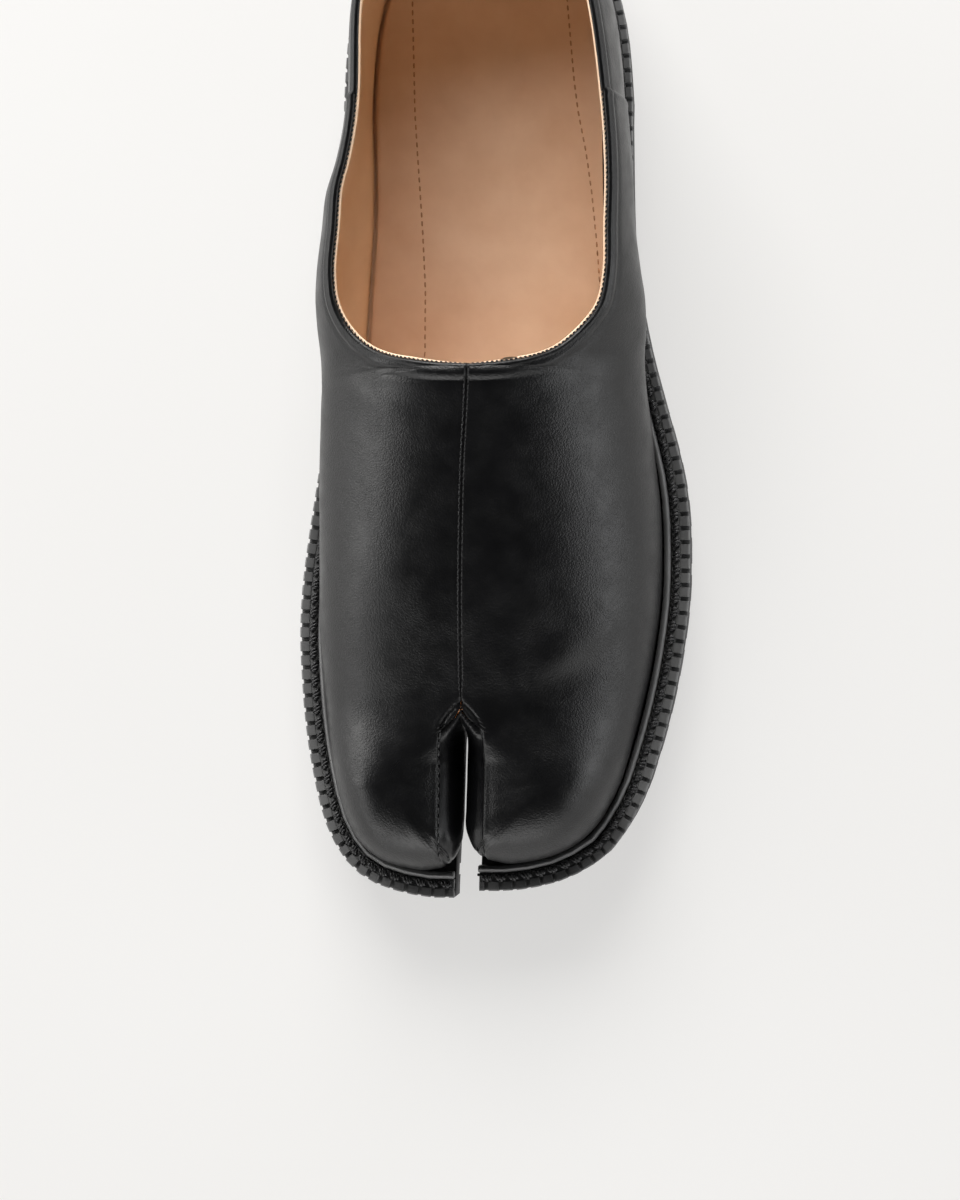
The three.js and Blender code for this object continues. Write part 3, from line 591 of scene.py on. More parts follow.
    def _slopes(self) -> None:
        """Tangents round the ring, small where rows bunch, and broken at the throat."""
        step = np.diff(self.ring)
        secant = np.diff(self.rows, axis=0) / step[:, None, None]
        before = np.concatenate([secant[-1:], secant])
        after = np.concatenate([secant, secant[:1]])
        size_before = np.concatenate([step[-1:], step])[:, None, None]
        size_after = np.concatenate([step, step[:1]])[:, None, None]
        slope = (before * size_after + after * size_before) / (size_before + size_after)
        least = np.minimum(np.linalg.norm(before, axis=2), np.linalg.norm(after, axis=2))
        size = np.maximum(np.linalg.norm(slope, axis=2), 1e-9)
        slope = slope * np.minimum(1.0, self.SLOPE_LIMIT * least / size)[..., None]
        self.enter, self.leave = slope.copy(), slope.copy()
        change = np.nonzero(np.diff(self.ridge) != 0)[0]
        inner, outer = int(change[0]) + 1, int(change[-1])
        self.throat = (float(self.ring[inner]), float(self.ring[outer]))
        across = unit(unit(after[inner, 0]) + unit(before[outer, 0]))
        self.enter[inner, 0] = before[inner, 0]
        self.leave[inner, 0] = across * np.linalg.norm(after[inner, 0])
        self.enter[outer, 0] = across * np.linalg.norm(before[outer, 0])
        self.leave[outer, 0] = after[outer, 0]

    def take(self, ring: Array) -> RowSet:
        """Rows at places round the ring.

        Args:
            ring: Places, as lengths from the rear of the slot.

        Returns:
            The rows.
        """
        k = np.clip(np.searchsorted(self.ring, ring, side="right") - 1, 0, len(self.ring) - 2)
        h = (self.ring[k + 1] - self.ring[k])[:, None, None]
        t = ((ring - self.ring[k]) / (self.ring[k + 1] - self.ring[k]))[:, None, None]
        points = hermite(t, h, self.rows[k], self.leave[k], self.rows[k + 1], self.enter[k + 1])
        share = t[:, 0]
        normal = self.normal[k] * (1 - share) + self.normal[k + 1] * share
        ridge = np.maximum(self.ridge[k], self.ridge[k + 1])
        return RowSet(points, normal, ridge)

    def span(
        self, first: float, last: float, spacing: float, fine: Sequence[tuple[float, float, float]] = ()
    ) -> Array:
        """Places between two ends, closer together in some stretches.

        Args:
            first: First place.
            last: Last place.
            spacing: Usual distance between places.
            fine: Stretches with a centre that is kept, a half length and a distance between places.

        Returns:
            Sorted places.
        """
        fixed = [first, last] + [centre for centre, _, _ in fine if first < centre < last]
        places = list(np.linspace(first, last, max(2, int((last - first) / spacing))))
        for centre, half, step in fine:
            count = int(half / step)
            places += [centre + step * n for n in range(-count, count + 1)]
        fixed_at = np.array(sorted(fixed))
        kept = list(fixed_at)
        previous = first
        for place in sorted(p for p in places if first < p < last):
            apart = np.abs(fixed_at - place).min()
            if place - previous > self.CLOSEST and apart > self.CLOSEST_TO_FIXED:
                kept.append(place)
                previous = place
        return np.array(sorted(kept))


# Materials


class Nodes:
    """Short way to build a node tree."""

    def __init__(self, tree: bpy.types.NodeTree) -> None:
        """Keeps the tree.

        Args:
            tree: The tree to fill.
        """
        self.tree = tree

    def add(self, kind: str, inputs: Optional[dict[Any, Any]] = None, **settings: Any) -> bpy.types.Node:
        """Adds a node.

        Args:
            kind: Its type.
            inputs: Values or sockets to feed its inputs, by name or number.
            settings: Its own properties.

        Returns:
            The node.
        """
        node = self.tree.nodes.new(kind)
        for name, value in settings.items():
            setattr(node, name, value)
        for name, value in (inputs or {}).items():
            if isinstance(value, bpy.types.NodeSocket):
                self.tree.links.new(value, node.inputs[name])
            else:
                node.inputs[name].default_value = value
        return node

    def math(self, operation: str, a: Any, b: Any = 0.0, clamp: bool = False) -> bpy.types.NodeSocket:
        """Adds a math node.

        Args:
            operation: What it does.
            a: First value or socket.
            b: Second value or socket.
            clamp: Whether the result stays within 0 and 1.

        Returns:
            Its output.
        """
        return self.add("ShaderNodeMath", {0: a, 1: b}, operation=operation, use_clamp=clamp).outputs[0]

    def ramp(self, value: Any, low: float, high: float, to_low: float = 0.0, to_high: float = 1.0) -> Any:
        """Maps a range of values to another.

        Args:
            value: The socket to map.
            low: Start of its range.
            high: End of its range.
            to_low: Result at the start.
            to_high: Result at the end.

        Returns:
            The output socket.
        """
        node = self.add("ShaderNodeMapRange", {0: value, 1: low, 2: high, 3: to_low, 4: to_high})
        return node.outputs[0]

    def noise(self, where: Any, scale: float, detail: float = 3.0, roughness: float = 0.55) -> Any:
        """Adds noise.

        Args:
            where: Coordinate socket.
            scale: Cells a metre.
            detail: Octaves.
            roughness: Weight of the finer octaves.

        Returns:
            The output socket.
        """
        found = self.add(
            "ShaderNodeTexNoise", {"Vector": where, "Scale": scale, "Detail": detail, "Roughness": roughness}
        )
        return found.outputs[0]


def make_group(name: str, outputs: Sequence[str], fill: Callable[[Nodes, Any], dict[str, Any]]) -> Any:
    """Makes a shader node group with a scale input.

    Args:
        name: Name of the group.
        outputs: Names of its float outputs.
        fill: Gets the nodes and the scaled coordinate socket, and gives a socket for each output.

    Returns:
        The group's tree.
    """
    tree = bpy.data.node_groups.new(name, "ShaderNodeTree")
    tree.interface.new_socket("Vector", in_out="INPUT", socket_type="NodeSocketVector")
    scale = tree.interface.new_socket("Scale", in_out="INPUT", socket_type="NodeSocketFloat")
    scale.default_value = 1.0
    for output in outputs:
        tree.interface.new_socket(output, in_out="OUTPUT", socket_type="NodeSocketFloat")
    nodes = Nodes(tree)
    source = nodes.add("NodeGroupInput")
    scaled = nodes.add("ShaderNodeVectorMath", {0: source.outputs[0]}, operation="SCALE")
    tree.links.new(source.outputs[1], scaled.inputs["Scale"])
    made = fill(nodes, scaled.outputs[0])
    sink = nodes.add("NodeGroupOutput")
    for output in outputs:
        tree.links.new(made[output], sink.inputs[output])
    return tree


def fill_grain(nodes: Nodes, where: Any) -> dict[str, Any]:
    """Fine pebbled leather: raised cells with folds between them.

    Args:
        nodes: The group's nodes.
        where: Coordinates.

    Returns:
        The outputs.
    """
    bent = nodes.add("ShaderNodeTexNoise", {"Vector": where, "Scale": 900.0, "Detail": 2.0})
    reach = (0.0007, 0.0007, 0.0007)
    shift = nodes.add("ShaderNodeVectorMath", {0: bent.outputs["Color"], 1: reach}, operation="MULTIPLY")
    moved = nodes.add("ShaderNodeVectorMath", {0: where, 1: shift.outputs[0]}, operation="ADD")
    cells = nodes.add(
        "ShaderNodeTexVoronoi", {"Vector": moved.outputs[0], "Scale": 1900.0, "Randomness": 1.0}, feature="F1"
    )
    pebble = nodes.ramp(cells.outputs["Distance"], 0.05, 0.75, 1.0, 0.0)
    fine = nodes.noise(where, 3600.0, 2.0)
    broad = nodes.noise(where, 140.0, 3.0)
    height = nodes.math("ADD", nodes.math("MULTIPLY", pebble, 0.75), nodes.math("MULTIPLY", fine, 0.25))
    depth = nodes.ramp(broad, 0.35, 0.65, 0.55, 1.0)
    return {"Height": nodes.math("MULTIPLY", height, depth), "Mottle": broad}


def fill_wear(nodes: Nodes, where: Any) -> dict[str, Any]:
    """Soft unevenness and faint scuffs of a handled surface.

    Args:
        nodes: The group's nodes.
        where: Coordinates.

    Returns:
        The outputs.
    """
    cloud = nodes.noise(where, 45.0, 4.0, 0.6)
    streak_at = nodes.add("ShaderNodeMapping", {"Vector": where, "Scale": (1.0, 0.25, 1.0)})
    streak = nodes.noise(streak_at.outputs[0], 420.0, 5.0, 0.65)
    scuff = nodes.ramp(streak, 0.62, 0.78, 0.0, 1.0)
    patch = nodes.ramp(nodes.noise(where, 28.0, 2.0), 0.52, 0.66, 0.0, 1.0)
    return {"Cloud": cloud, "Scuff": nodes.math("MULTIPLY", scuff, patch)}


def fill_rubber(nodes: Nodes, where: Any) -> dict[str, Any]:
    """Fine stipple of a moulded rubber face.

    Args:
        nodes: The group's nodes.
        where: Coordinates.

    Returns:
        The outputs.
    """
    stipple = nodes.noise(where, 2600.0, 3.0, 0.6)
    flow = nodes.noise(where, 120.0, 3.0)
    height = nodes.math("ADD", nodes.math("MULTIPLY", stipple, 0.7), nodes.math("MULTIPLY", flow, 0.3))
    return {"Height": height, "Flow": flow}


@dataclass(frozen=True)
class LeatherFinish:
    """Numbers of one leather."""

    name: str
    dark: tuple[float, float, float]
    light: tuple[float, float, float]
    roughness: tuple[float, float]
    grain: float
    grain_depth: float
    coat: float
    coat_roughness: float
    specular: float = 0.5


@dataclass(frozen=True)
class RubberFinish:
    """Numbers of one rubber."""

    name: str
    dark: tuple[float, float, float]
    light: tuple[float, float, float]
    roughness: tuple[float, float]
    depth: float
    specular: float = 0.4


@dataclass(frozen=True)
class ThreadFinish:
    """Numbers of one sewing thread."""

    name: str
    colour: tuple[float, float, float]
    roughness: float


class Finishes:
    """All materials, made once."""

    BLACK = LeatherFinish(
        "upper_black", (0.0022, 0.0023, 0.0026), (0.0040, 0.0041, 0.0047), (0.31, 0.42), 1.0, 0.075, 0.0, 0.16, 0.34
    )
    GLOSS = LeatherFinish(
        "strip_black", (0.0024, 0.0025, 0.0029), (0.0042, 0.0043, 0.005), (0.30, 0.40), 1.3, 0.03, 0.05, 0.12, 0.24
    )
    TAN = LeatherFinish(
        "insole_tan", (0.72, 0.485, 0.325), (0.82, 0.595, 0.425), (0.46, 0.6), 1.1, 0.014, 0.04, 0.3, 0.4
    )
    LINING = LeatherFinish(
        "lining_tan", (0.84, 0.60, 0.39), (0.93, 0.70, 0.48), (0.55, 0.7), 1.2, 0.012, 0.0, 0.3, 0.35
    )
    RAW = LeatherFinish("lining_edge", (0.78, 0.55, 0.38), (0.88, 0.68, 0.50), (0.7, 0.85), 2.2, 0.03, 0.0, 0.3, 0.3)
    WELT = RubberFinish("welt_rubber", (0.080, 0.0803, 0.0808), (0.130, 0.1305, 0.131), (0.42, 0.58), 0.025, 0.5)
    SOLE = RubberFinish("sole_rubber", (0.013, 0.0133, 0.0138), (0.022, 0.0225, 0.0232), (0.55, 0.7), 0.03, 0.4)
    BLACK_THREAD = ThreadFinish("thread_black", (0.012, 0.012, 0.013), 0.45)
    TAN_THREAD = ThreadFinish("thread_brown", (0.46, 0.25, 0.14), 0.7)
    # Needle holes: near-black finish that paints the shade inside the welt's stitch holes, which are not cut into the
    # rubber.
    HOLE_SHADE = ThreadFinish("needle_hole_shade", (0.002, 0.002, 0.002), 0.9)

    def __init__(self) -> None:
        """Makes the node groups and the materials."""
        self.grain = make_group("leather_grain", ("Height", "Mottle"), fill_grain)
        self.wear = make_group("surface_wear", ("Cloud", "Scuff"), fill_wear)
        self.stipple = make_group("rubber_stipple", ("Height", "Flow"), fill_rubber)
        self.black = self._leather(self.BLACK)
        self.gloss = self._leather(self.GLOSS)
        self.tan = self._leather(self.TAN)
        self.lining = self._leather(self.LINING)
        self.raw = self._leather(self.RAW)
        self.welt = self._rubber(self.WELT)
        self.sole = self._rubber(self.SOLE)
        self.black_thread = self._thread(self.BLACK_THREAD)
        self.tan_thread = self._thread(self.TAN_THREAD)
        # Painted shade of the welt's needle holes.
        self.hole_shade = self._thread(self.HOLE_SHADE)

    def _start(self, name: str) -> tuple[bpy.types.Material, Nodes, Any, Any]:
        """Starts a material.

        Args:
            name: Its name.

        Returns:
            The material, its nodes, the shader and the object coordinates.
        """
        material = bpy.data.materials.new(name)
        material.use_nodes = True
        material.node_tree.nodes.clear()
        nodes = Nodes(material.node_tree)
        shader = nodes.add("ShaderNodeBsdfPrincipled")
        out = nodes.add("ShaderNodeOutputMaterial")
        nodes.tree.links.new(shader.outputs[0], out.inputs[0])
        return material, nodes, shader, nodes.add("ShaderNodeTexCoord").outputs["Object"]

    @staticmethod
    def _mix(nodes: Nodes, share: Any, dark: Sequence[float], light: Sequence[float]) -> Any:
        """Mixes two colours.

        Args:
            nodes: The material's nodes.
            share: Socket with the light colour's share.
            dark: Colour at 0.
            light: Colour at 1.

        Returns:
            The colour socket.
        """
        mix = nodes.add("ShaderNodeMix", {0: share, 6: (*dark, 1.0), 7: (*light, 1.0)}, data_type="RGBA")
        return mix.outputs[2]

    @staticmethod
    def _bump(nodes: Nodes, shader: Any, height: Any, depth: float) -> None:
        """Links a height to the shader's normal.

        Args:
            nodes: The material's nodes.
            shader: The shader.
            height: Height socket, 0 to 1.
            depth: Depth in millimetres.
        """
        bump = nodes.add("ShaderNodeBump", {"Height": height, "Distance": depth * MM, "Strength": 1.0})
        nodes.tree.links.new(bump.outputs[0], shader.inputs["Normal"])

    def _group(self, nodes: Nodes, tree: Any, where: Any, scale: float) -> Any:
        """Adds a group node.

        Args:
            nodes: The material's nodes.
            tree: The group.
            where: Coordinates.
            scale: Its scale.

        Returns:
            The node.
        """
        node = nodes.add("ShaderNodeGroup", node_tree=tree)
        nodes.tree.links.new(where, node.inputs["Vector"])
        node.inputs["Scale"].default_value = scale
        return node

    def _leather(self, finish: LeatherFinish) -> bpy.types.Material:
        """Makes a leather.

        Args:
            finish: Its numbers.

        Returns:
            The material.
        """
        material, nodes, shader, where = self._start(finish.name)
        grain = self._group(nodes, self.grain, where, finish.grain)
        wear = self._group(nodes, self.wear, where, 1.0)
        share = nodes.ramp(wear.outputs["Cloud"], 0.3, 0.7)
        nodes.tree.links.new(self._mix(nodes, share, finish.dark, finish.light), shader.inputs["Base Color"])
        rough = nodes.ramp(grain.outputs["Mottle"], 0.3, 0.7, *finish.roughness)
        rough = nodes.math("ADD", rough, nodes.math("MULTIPLY", wear.outputs["Scuff"], 0.08))
        nodes.tree.links.new(rough, shader.inputs["Roughness"])
        shader.inputs["Coat Weight"].default_value = finish.coat
        shader.inputs["Coat Roughness"].default_value = finish.coat_roughness
        shader.inputs["Specular IOR Level"].default_value = finish.specular
        self._bump(nodes, shader, grain.outputs["Height"], finish.grain_depth)
        return material

    def _rubber(self, finish: RubberFinish) -> bpy.types.Material:
        """Makes a rubber.

        Args:
            finish: Its numbers.

        Returns:
            The material.
        """
        material, nodes, shader, where = self._start(finish.name)
        stipple = self._group(nodes, self.stipple, where, 1.0)
        wear = self._group(nodes, self.wear, where, 1.4)
        share = nodes.ramp(wear.outputs["Cloud"], 0.3, 0.7)
        nodes.tree.links.new(self._mix(nodes, share, finish.dark, finish.light), shader.inputs["Base Color"])
        rough = nodes.ramp(stipple.outputs["Flow"], 0.3, 0.7, *finish.roughness)
        nodes.tree.links.new(rough, shader.inputs["Roughness"])
        shader.inputs["Specular IOR Level"].default_value = finish.specular
        self._bump(nodes, shader, stipple.outputs["Height"], finish.depth)
        return material

    def _thread(self, finish: ThreadFinish) -> bpy.types.Material:
        """Makes a thread.

        Args:
            finish: Its numbers.

        Returns:
            The material.
        """
        material, nodes, shader, where = self._start(finish.name)
        fibre = nodes.noise(where, 5200.0, 3.0, 0.6)
        dark = tuple(0.7 * c for c in finish.colour)
        light = tuple(1.3 * c for c in finish.colour)
        share = nodes.ramp(fibre, 0.3, 0.7)
        nodes.tree.links.new(self._mix(nodes, share, dark, light), shader.inputs["Base Color"])
        rough = nodes.ramp(fibre, 0.3, 0.7, finish.roughness - 0.08, finish.roughness + 0.08)
        nodes.tree.links.new(rough, shader.inputs["Roughness"])
        self._bump(nodes, shader, fibre, 0.04)
        return material


def dress(obj: bpy.types.Object, material: bpy.types.Material, slot: Slot, *nodes: str) -> bpy.types.Object:
    """Gives a piece its material and its body.

    Args:
        obj: The piece.
        material: Its material.
        slot: The record's slot; not used.
        nodes: CAD nodes that it stands for.

    Returns:
        The piece.
    """
    obj.data.materials.clear()
    obj.data.materials.append(material)
    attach(obj, BODY)
    if nodes:
        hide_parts(*nodes)
    return obj


# Upper


@dataclass(frozen=True)
class Crease:
    """A soft trough or ridge on the leather, along a line in plan."""

    line: tuple[tuple[float, float], ...]
    width: float
    height: float


@dataclass(frozen=True)
class UpperSizes:
    """Sizes of the upper's fine shapes."""

    spacing: float = 1.3
    levels: int = 56
    roll_radius: float = 0.85
    roll_tuck: float = 1.2
    roll_rise: float = 0.5
    roll_centre: float = 1.5
    roll_width: float = 1.3
    groove_depth: float = 0.3
    groove_centre: float = 3.9
    groove_width: float = 0.75
    seam_depth: float = 0.5
    seam_width: float = 0.42
    seam_shoulder: float = 0.06
    strip_half: float = 5.5
    arch_length: float = 8.5
    strip_recess: float = 0.5
    strip_bulge: float = 0.3
    strip_push: float = 0.6
    strip_gap: float = 0.3
    strip_lap: float = 0.7
    edge_slope: float = 6.0
    fold_rise: float = 0.24
    fold: float = 0.9
    pleat_depth: float = 0.13
    pleat_pitch: float = 1.15
    seam_stitch_at: float = 0.55
    seam_stitch_pitch: float = 1.8
    strip_stitch_at: float = 0.95
    strip_stitch_pitch: float = 2.7
    collar_stitch_pitch: float = 1.27
    lining_edge: float = 0.95
    lining_start: float = 2.2
    creases: tuple[Crease, ...] = (
        Crease(((12.0, -79.5), (22.0, -75.0), (34.0, -66.5)), 4.5, 0.62),
        Crease(((14.0, -86.5), (25.0, -82.0), (37.0, -72.5)), 4.5, -0.5),
        Crease(((-38.0, 6.5), (-30.0, -1.0), (-20.0, -7.5)), 3.2, -0.38),
        Crease(((-36.0, -1.5), (-29.0, -7.5), (-19.0, -12.0)), 3.2, 0.22),
        Crease(((17.0, -3.5), (27.0, -1.0), (36.0, 4.0), (42.0, 12.0)), 3.6, -0.4),
        Crease(((15.0, -10.0), (27.0, -8.0), (38.0, -2.0)), 4.0, 0.25),
        Crease(((-33.0, -58.0), (-24.0, -66.0), (-12.0, -71.0)), 6.0, -0.18),
        Crease(((10.0, -48.0), (20.0, -55.0), (34.0, -56.0)), 6.0, -0.2),
        Crease(((38.0, 30.0), (42.0, 10.0), (44.0, -12.0)), 3.5, -0.25),
    )


class Upper:
    """Vamp halves, quarter, slot strip, lining and collar of the upper."""

    def __init__(self, node: bpy.types.Object, sizes: UpperSizes) -> None:
        """Reads the upper.

        Args:
            node: Its CAD node.
            sizes: Its fine sizes.
        """
        self.sizes = sizes
        self.line = CentreLine()
        self.places = SeamPlaces()
        self.skin = Skin(node, self.line, self.places)
        self.arch = self._arch_line()
        collar = self.skin.take(self.skin.span(*self.skin.throat, 1.0))
        self.rim = collar.points[:, 0]
        self.rim_way = unit(np.gradient(self.rim, axis=0))
        self.stitches: list[tuple[str, Array, Array, Array, float, float]] = []

    def _half(self, ahead: Array) -> Array:
        """Half width of the slot's strip.

        Args:
            ahead: Distance in front of the arch's tip.

        Returns:
            The half width.
        """
        share = np.clip(ahead / self.sizes.arch_length, 0, 1)
        return self.sizes.strip_half * np.sin(share * np.pi / 2) ** 0.8

    def _arch_line(self) -> Array:
        """Seam round the strip in plan, from the inner lobe's front over the tip to the outer's.

        Returns:
            The line, shape (n, 2).
        """
        length = self.sizes.arch_length
        ahead = np.concatenate([np.linspace(0, 1, 40) ** 1.6 * length, np.linspace(length + 1, 52, 40)])
        y = self.places.arch_tip_y - ahead
        x = self.line.at(y)
        half = self._half(ahead)
        inner = np.stack([x - half, y], axis=1)
        outer = np.stack([x + half, y], axis=1)
        return np.concatenate([inner[:0:-1], outer])

    def _outside(self, points: Array) -> Array:
        """How far points lie outside the strip across the shoe, negative inside it.

        Args:
            points: Points, shape (..., 3).

        Returns:
            The distance.
        """
        ahead = self.places.arch_tip_y - points[..., 1]
        aside = np.abs(points[..., 0] - self.line.at(points[..., 1]))
        return np.where(ahead > 0, aside - self._half(ahead), np.hypot(aside, ahead) + 1e-3)

    def _strip_start(self, rows: RowSet) -> Array:
        """Distance from the top at which each row enters the slot's strip.

        Args:
            rows: The rows.

        Returns:
            The distance, or the row's length where it doesn't.
        """
        samples = np.linspace(0, 1, 240)[None, :] * rows.length[:, None]
        outside = self._outside(rows.at(samples))
        open_after = np.maximum.accumulate((outside > 0)[:, ::-1], axis=1)[:, ::-1]
        first = open_after.sum(axis=1)
        row = np.arange(len(first))
        inner = np.clip(first, 1, samples.shape[1] - 1)
        before, after = outside[row, inner - 1], outside[row, inner]
        share = np.clip(before / np.where(np.abs(before - after) < 1e-9, 1.0, before - after), 0, 1)
        crossing = samples[row, inner - 1] * (1 - share) + samples[row, inner] * share
        start = np.where(first == 0, 0.0, crossing)
        foot = rows.points[:, -1]
        in_slot = np.abs(foot[:, 0] - self.line.at(foot[:, 1])) < self.sizes.strip_half
        hit = in_slot & (foot[:, 1] < self.places.arch_tip_y) & (first < samples.shape[1])
        return np.where(hit, start, rows.length)

    def _levels(self, end: Array, count: int) -> Array:
        """Distances from the top, closer together near both ends.

        Args:
            end: Where each row ends.
            count: Number of points a row.

        Returns:
            Distances, shape (rows, count).
        """
        near = np.array([0, 0.2, 0.4, 0.65, 0.95, 1.35, 1.8, 2.3, 2.9, 3.4, 3.9, 4.4, 5.1])
        tail = np.array([2.2, 1.6, 1.1, 0.7, 0.35, 0.0])
        rest = count - len(near) - len(tail)
        share = np.arange(1, rest + 1) / (rest + 1)
        scale = np.minimum(1.0, end / 14.0)[:, None]
        low = near[None] * scale
        high = end[:, None] - tail[None] * scale
        middle = low[:, -1:] + (high[:, :1] - low[:, -1:]) * share[None]
        return np.concatenate([low, middle, high], axis=1)

    def _relief(self, rows: RowSet, distance: Array, points: Array, normals: Array) -> Array:
        """Height of rolls, seams and creases over the plain surface.

        Args:
            rows: The rows.
            distance: Distances from the top.
            points: The surface.
            normals: Its normals.

        Returns:
            Heights, shape (rows, k).
        """
        s = self.sizes
        near = (points[..., 1] > self.places.throat_y - 12.0) & ((distance < 14.0) | (rows.ridge[:, None] > 0.5))
        rim = np.full(distance.shape, 99.0)
        rim[near] = polyline_distance(points[near], self.rim)[0]
        height = s.roll_rise * hump(rim, s.roll_centre, s.roll_width)
        height = height - s.groove_depth * hump(rim, s.groove_centre, s.groove_width)
        seam = rows.ridge * smooth(rows.points[:, 0, 1], self.places.arch_tip_y - 3.0, self.places.arch_tip_y + 1.0)
        height = height - seam[:, None] * s.seam_depth * hump(distance, 0.0, s.seam_width)
        height = height + seam[:, None] * s.seam_shoulder * hump(distance, 1.4, 0.8)
        gap = polyline_distance(points[..., :2], self.arch)[0]
        height = height + s.fold_rise * hump(gap, 1.1, 0.8) - s.strip_recess * hump(gap, 0.0, 0.42)
        up = smooth(normals[..., 2], -0.1, 0.35)
        for crease in s.creases:
            gap, share = polyline_distance(points[..., :2], np.array(crease.line))
            ends = np.sin(np.clip(share, 0.02, 0.98) * np.pi) ** 0.5
            height = height + crease.height * hump(gap, 0.0, crease.width) * up * ends
        return height

    def _rim_frame(self, rows: RowSet) -> tuple[Array, Array]:
        """Directions at the collar.

        Args:
            rows: The rows.

        Returns:
            Directions out of the shoe and up from the collar, both square to its edge.
        """
        top = rows.points[:, 0]
        nearest = np.argmin(np.linalg.norm(top[:, None] - self.rim[None], axis=2), axis=1)
        way = self.rim_way[nearest]
        out = unit(rows.normal - way * np.sum(rows.normal * way, axis=1, keepdims=True))
        rise = np.cross(way, out)
        down = rows.at(np.full((len(top), 1), 4.0))[:, 0] - top
        facing = np.sign(np.median(np.sum(rise * down, axis=1)))
        return out, -rise * facing

    def _roll(self, rows: RowSet, surface: Array) -> Array:
        """Points of the rolled collar edge, from its inside to the top of each row.

        Args:
            rows: The rows.
            surface: Their dressed grid.

        Returns:
            Points, shape (rows, k, 3), that lie on the top where a row has no collar.
        """
        r = self.sizes.roll_radius
        top = surface[:, 0]
        out, rise = self._rim_frame(rows)
        ring = [top - out * r + r * (math.cos(a) * out + math.sin(a) * rise) for a in np.linspace(np.pi, 0, 10)[:-1]]
        ring.insert(0, ring[0] - rise * self.sizes.roll_tuck)
        flat = (rows.ridge > 0.5)[:, None, None]
        return np.where(flat, top[:, None], np.stack(ring, axis=1))

    def _panel(self, name: str, places: Array, turns: tuple[bool, bool], inset: float = 0.0) -> bpy.types.Object:
        """Makes a leather panel between two places of the ring.

        Args:
            name: Its name.
            places: Places of its rows.
            turns: Whether its first and last rows turn in.
            inset: How far it lies under the surface.

        Returns:
            The piece.
        """
        rows = self.skin.take(places)
        start = self._strip_start(rows)
        steep = start[None] - self.sizes.edge_slope * np.abs(places[:, None] - places[None])
        end = np.minimum(steep.max(axis=1), rows.length)
        distance = self._levels(end, self.sizes.levels)
        points, normals = rows.grid(distance)
        height = self._relief(rows, distance, points, normals) - inset
        for at_end, turn in zip((0, -1), turns):
            if turn:
                gap = np.abs(places - places[at_end])[:, None]
                height = height - 0.4 * hump(gap, 0.0, 0.45) + 0.16 * hump(gap, 1.3, 0.7)
        surface = points + normals * height[..., None]
        roll = self._roll(rows, surface)
        tucked = smooth(rows.length - end, 0.0, 3.0)[:, None] * self.sizes.strip_lap
        under = surface[:, -1] - normals[:, -1] * tucked
        grid = np.concatenate([roll, surface, under[:, None]], axis=1)
        shade = grid_normals(grid)
        first = roll.shape[1]
        shared = (rows.ridge > 0.5)[:, None, None]
        shade[:, : first + 1] = np.where(shared, rows.normal[:, None], shade[:, : first + 1])
        for at_end, turn in zip((0, -1), turns):
            if turn:
                edge = (grid[at_end] - shade[at_end] * self.sizes.fold)[None]
                way = unit(grid[at_end] - grid[at_end + (1 if at_end == 0 else -1)])[None]
                parts = ((edge, grid), (way, shade)) if at_end == 0 else ((grid, edge), (shade, way))
                grid, shade = np.concatenate(parts[0]), np.concatenate(parts[1])
        piece = Patches()
        piece.add(grid, normals=shade)
        return piece.build(name)

    def build(self) -> dict[str, bpy.types.Object]:
        """Makes all pieces of the upper.

        Returns:
            The pieces by role.
        """
        skin, s = self.skin, self.sizes
        seams = [skin.ring[k] for k in skin.seam_rows]
        end = skin.ring[-1]
        throats = (skin.throat[0], skin.throat[1] - 1e-4)
        edge = [(seams[0], 2.6, 0.45), (seams[1], 2.6, 0.45)]
        fine = edge + [(throats[0], 4.0, 0.3), (throats[1], 4.0, 0.3)]
        inner = skin.span(0.0, seams[0], s.spacing, fine + [(6.0, 6.0, 0.35), (40.0, 8.0, 0.6)])
        outer = skin.span(seams[1], end, s.spacing, fine + [(end - 6.0, 6.0, 0.35), (end - 38.0, 8.0, 0.6)])
        quarter = skin.span(seams[0] - 0.7, seams[1] + 0.7, s.spacing, edge)
        pieces = {
            "vamp_inner": self._panel("vamp_inner", inner, (False, True)),
            "vamp_outer": self._panel("vamp_outer", outer, (True, False)),
            "quarter": self._panel("quarter", quarter, (False, False), inset=self.places.cuff_step * 0.75),
            "strip": self._strip(),
            "lining": self._lining(),
            "lining_edge": self._lining_edge(),
        }
        self._seam_stitches()
        return pieces

    def _strip(self) -> bpy.types.Object:
        """Makes the glossy strip that lines the toe slot.

        Returns:
            The piece.
        """
        s, skin = self.sizes, self.skin
        end = skin.ring[-1]
        piece = Patches()
        fine = ((8.0, 8.0, 0.27), (end - 8.0, 8.0, 0.27))
        for low, high in ((0.0, 60.0), (end - 60.0, end)):
            part = skin.span(low, high, 0.8, fine)
            rows = skin.take(part)
            used = np.nonzero(self._strip_start(rows) < rows.length - 0.05)[0]
            rows = skin.take(part[used[0] : used[-1] + 1])
            start = self._strip_start(rows)
            first = np.maximum(start - 0.8, 0.0)
            share = np.linspace(0, 1, 60)[None, :] ** 1.2
            distance = first[:, None] + (rows.length - first)[:, None] * share
            points, normals = rows.grid(distance)
            gap, way = polyline_distance(points[..., :2], self.arch)
            way = way * np.linalg.norm(np.diff(self.arch, axis=0), axis=1).sum()
            inside = np.where(self._outside(points) > 0, 0.0, gap)
            ahead = self.places.arch_tip_y - points[..., 1]
            pleat = np.sin(2 * np.pi * way / s.pleat_pitch + 0.8 * np.sin(way * 1.7) + 0.5 * inside)
            pleat = pleat * s.pleat_depth * hump(inside, 1.7, 1.5) * smooth(ahead, 12.0, 5.0)
            height = pleat - s.strip_recess * (1 - smooth(inside, 0.4, 2.6))
            height = height + s.strip_bulge * hump(inside, 2.6, 1.3) * smooth(ahead, 3.0, 9.0)
            surface = points + normals * height[..., None]
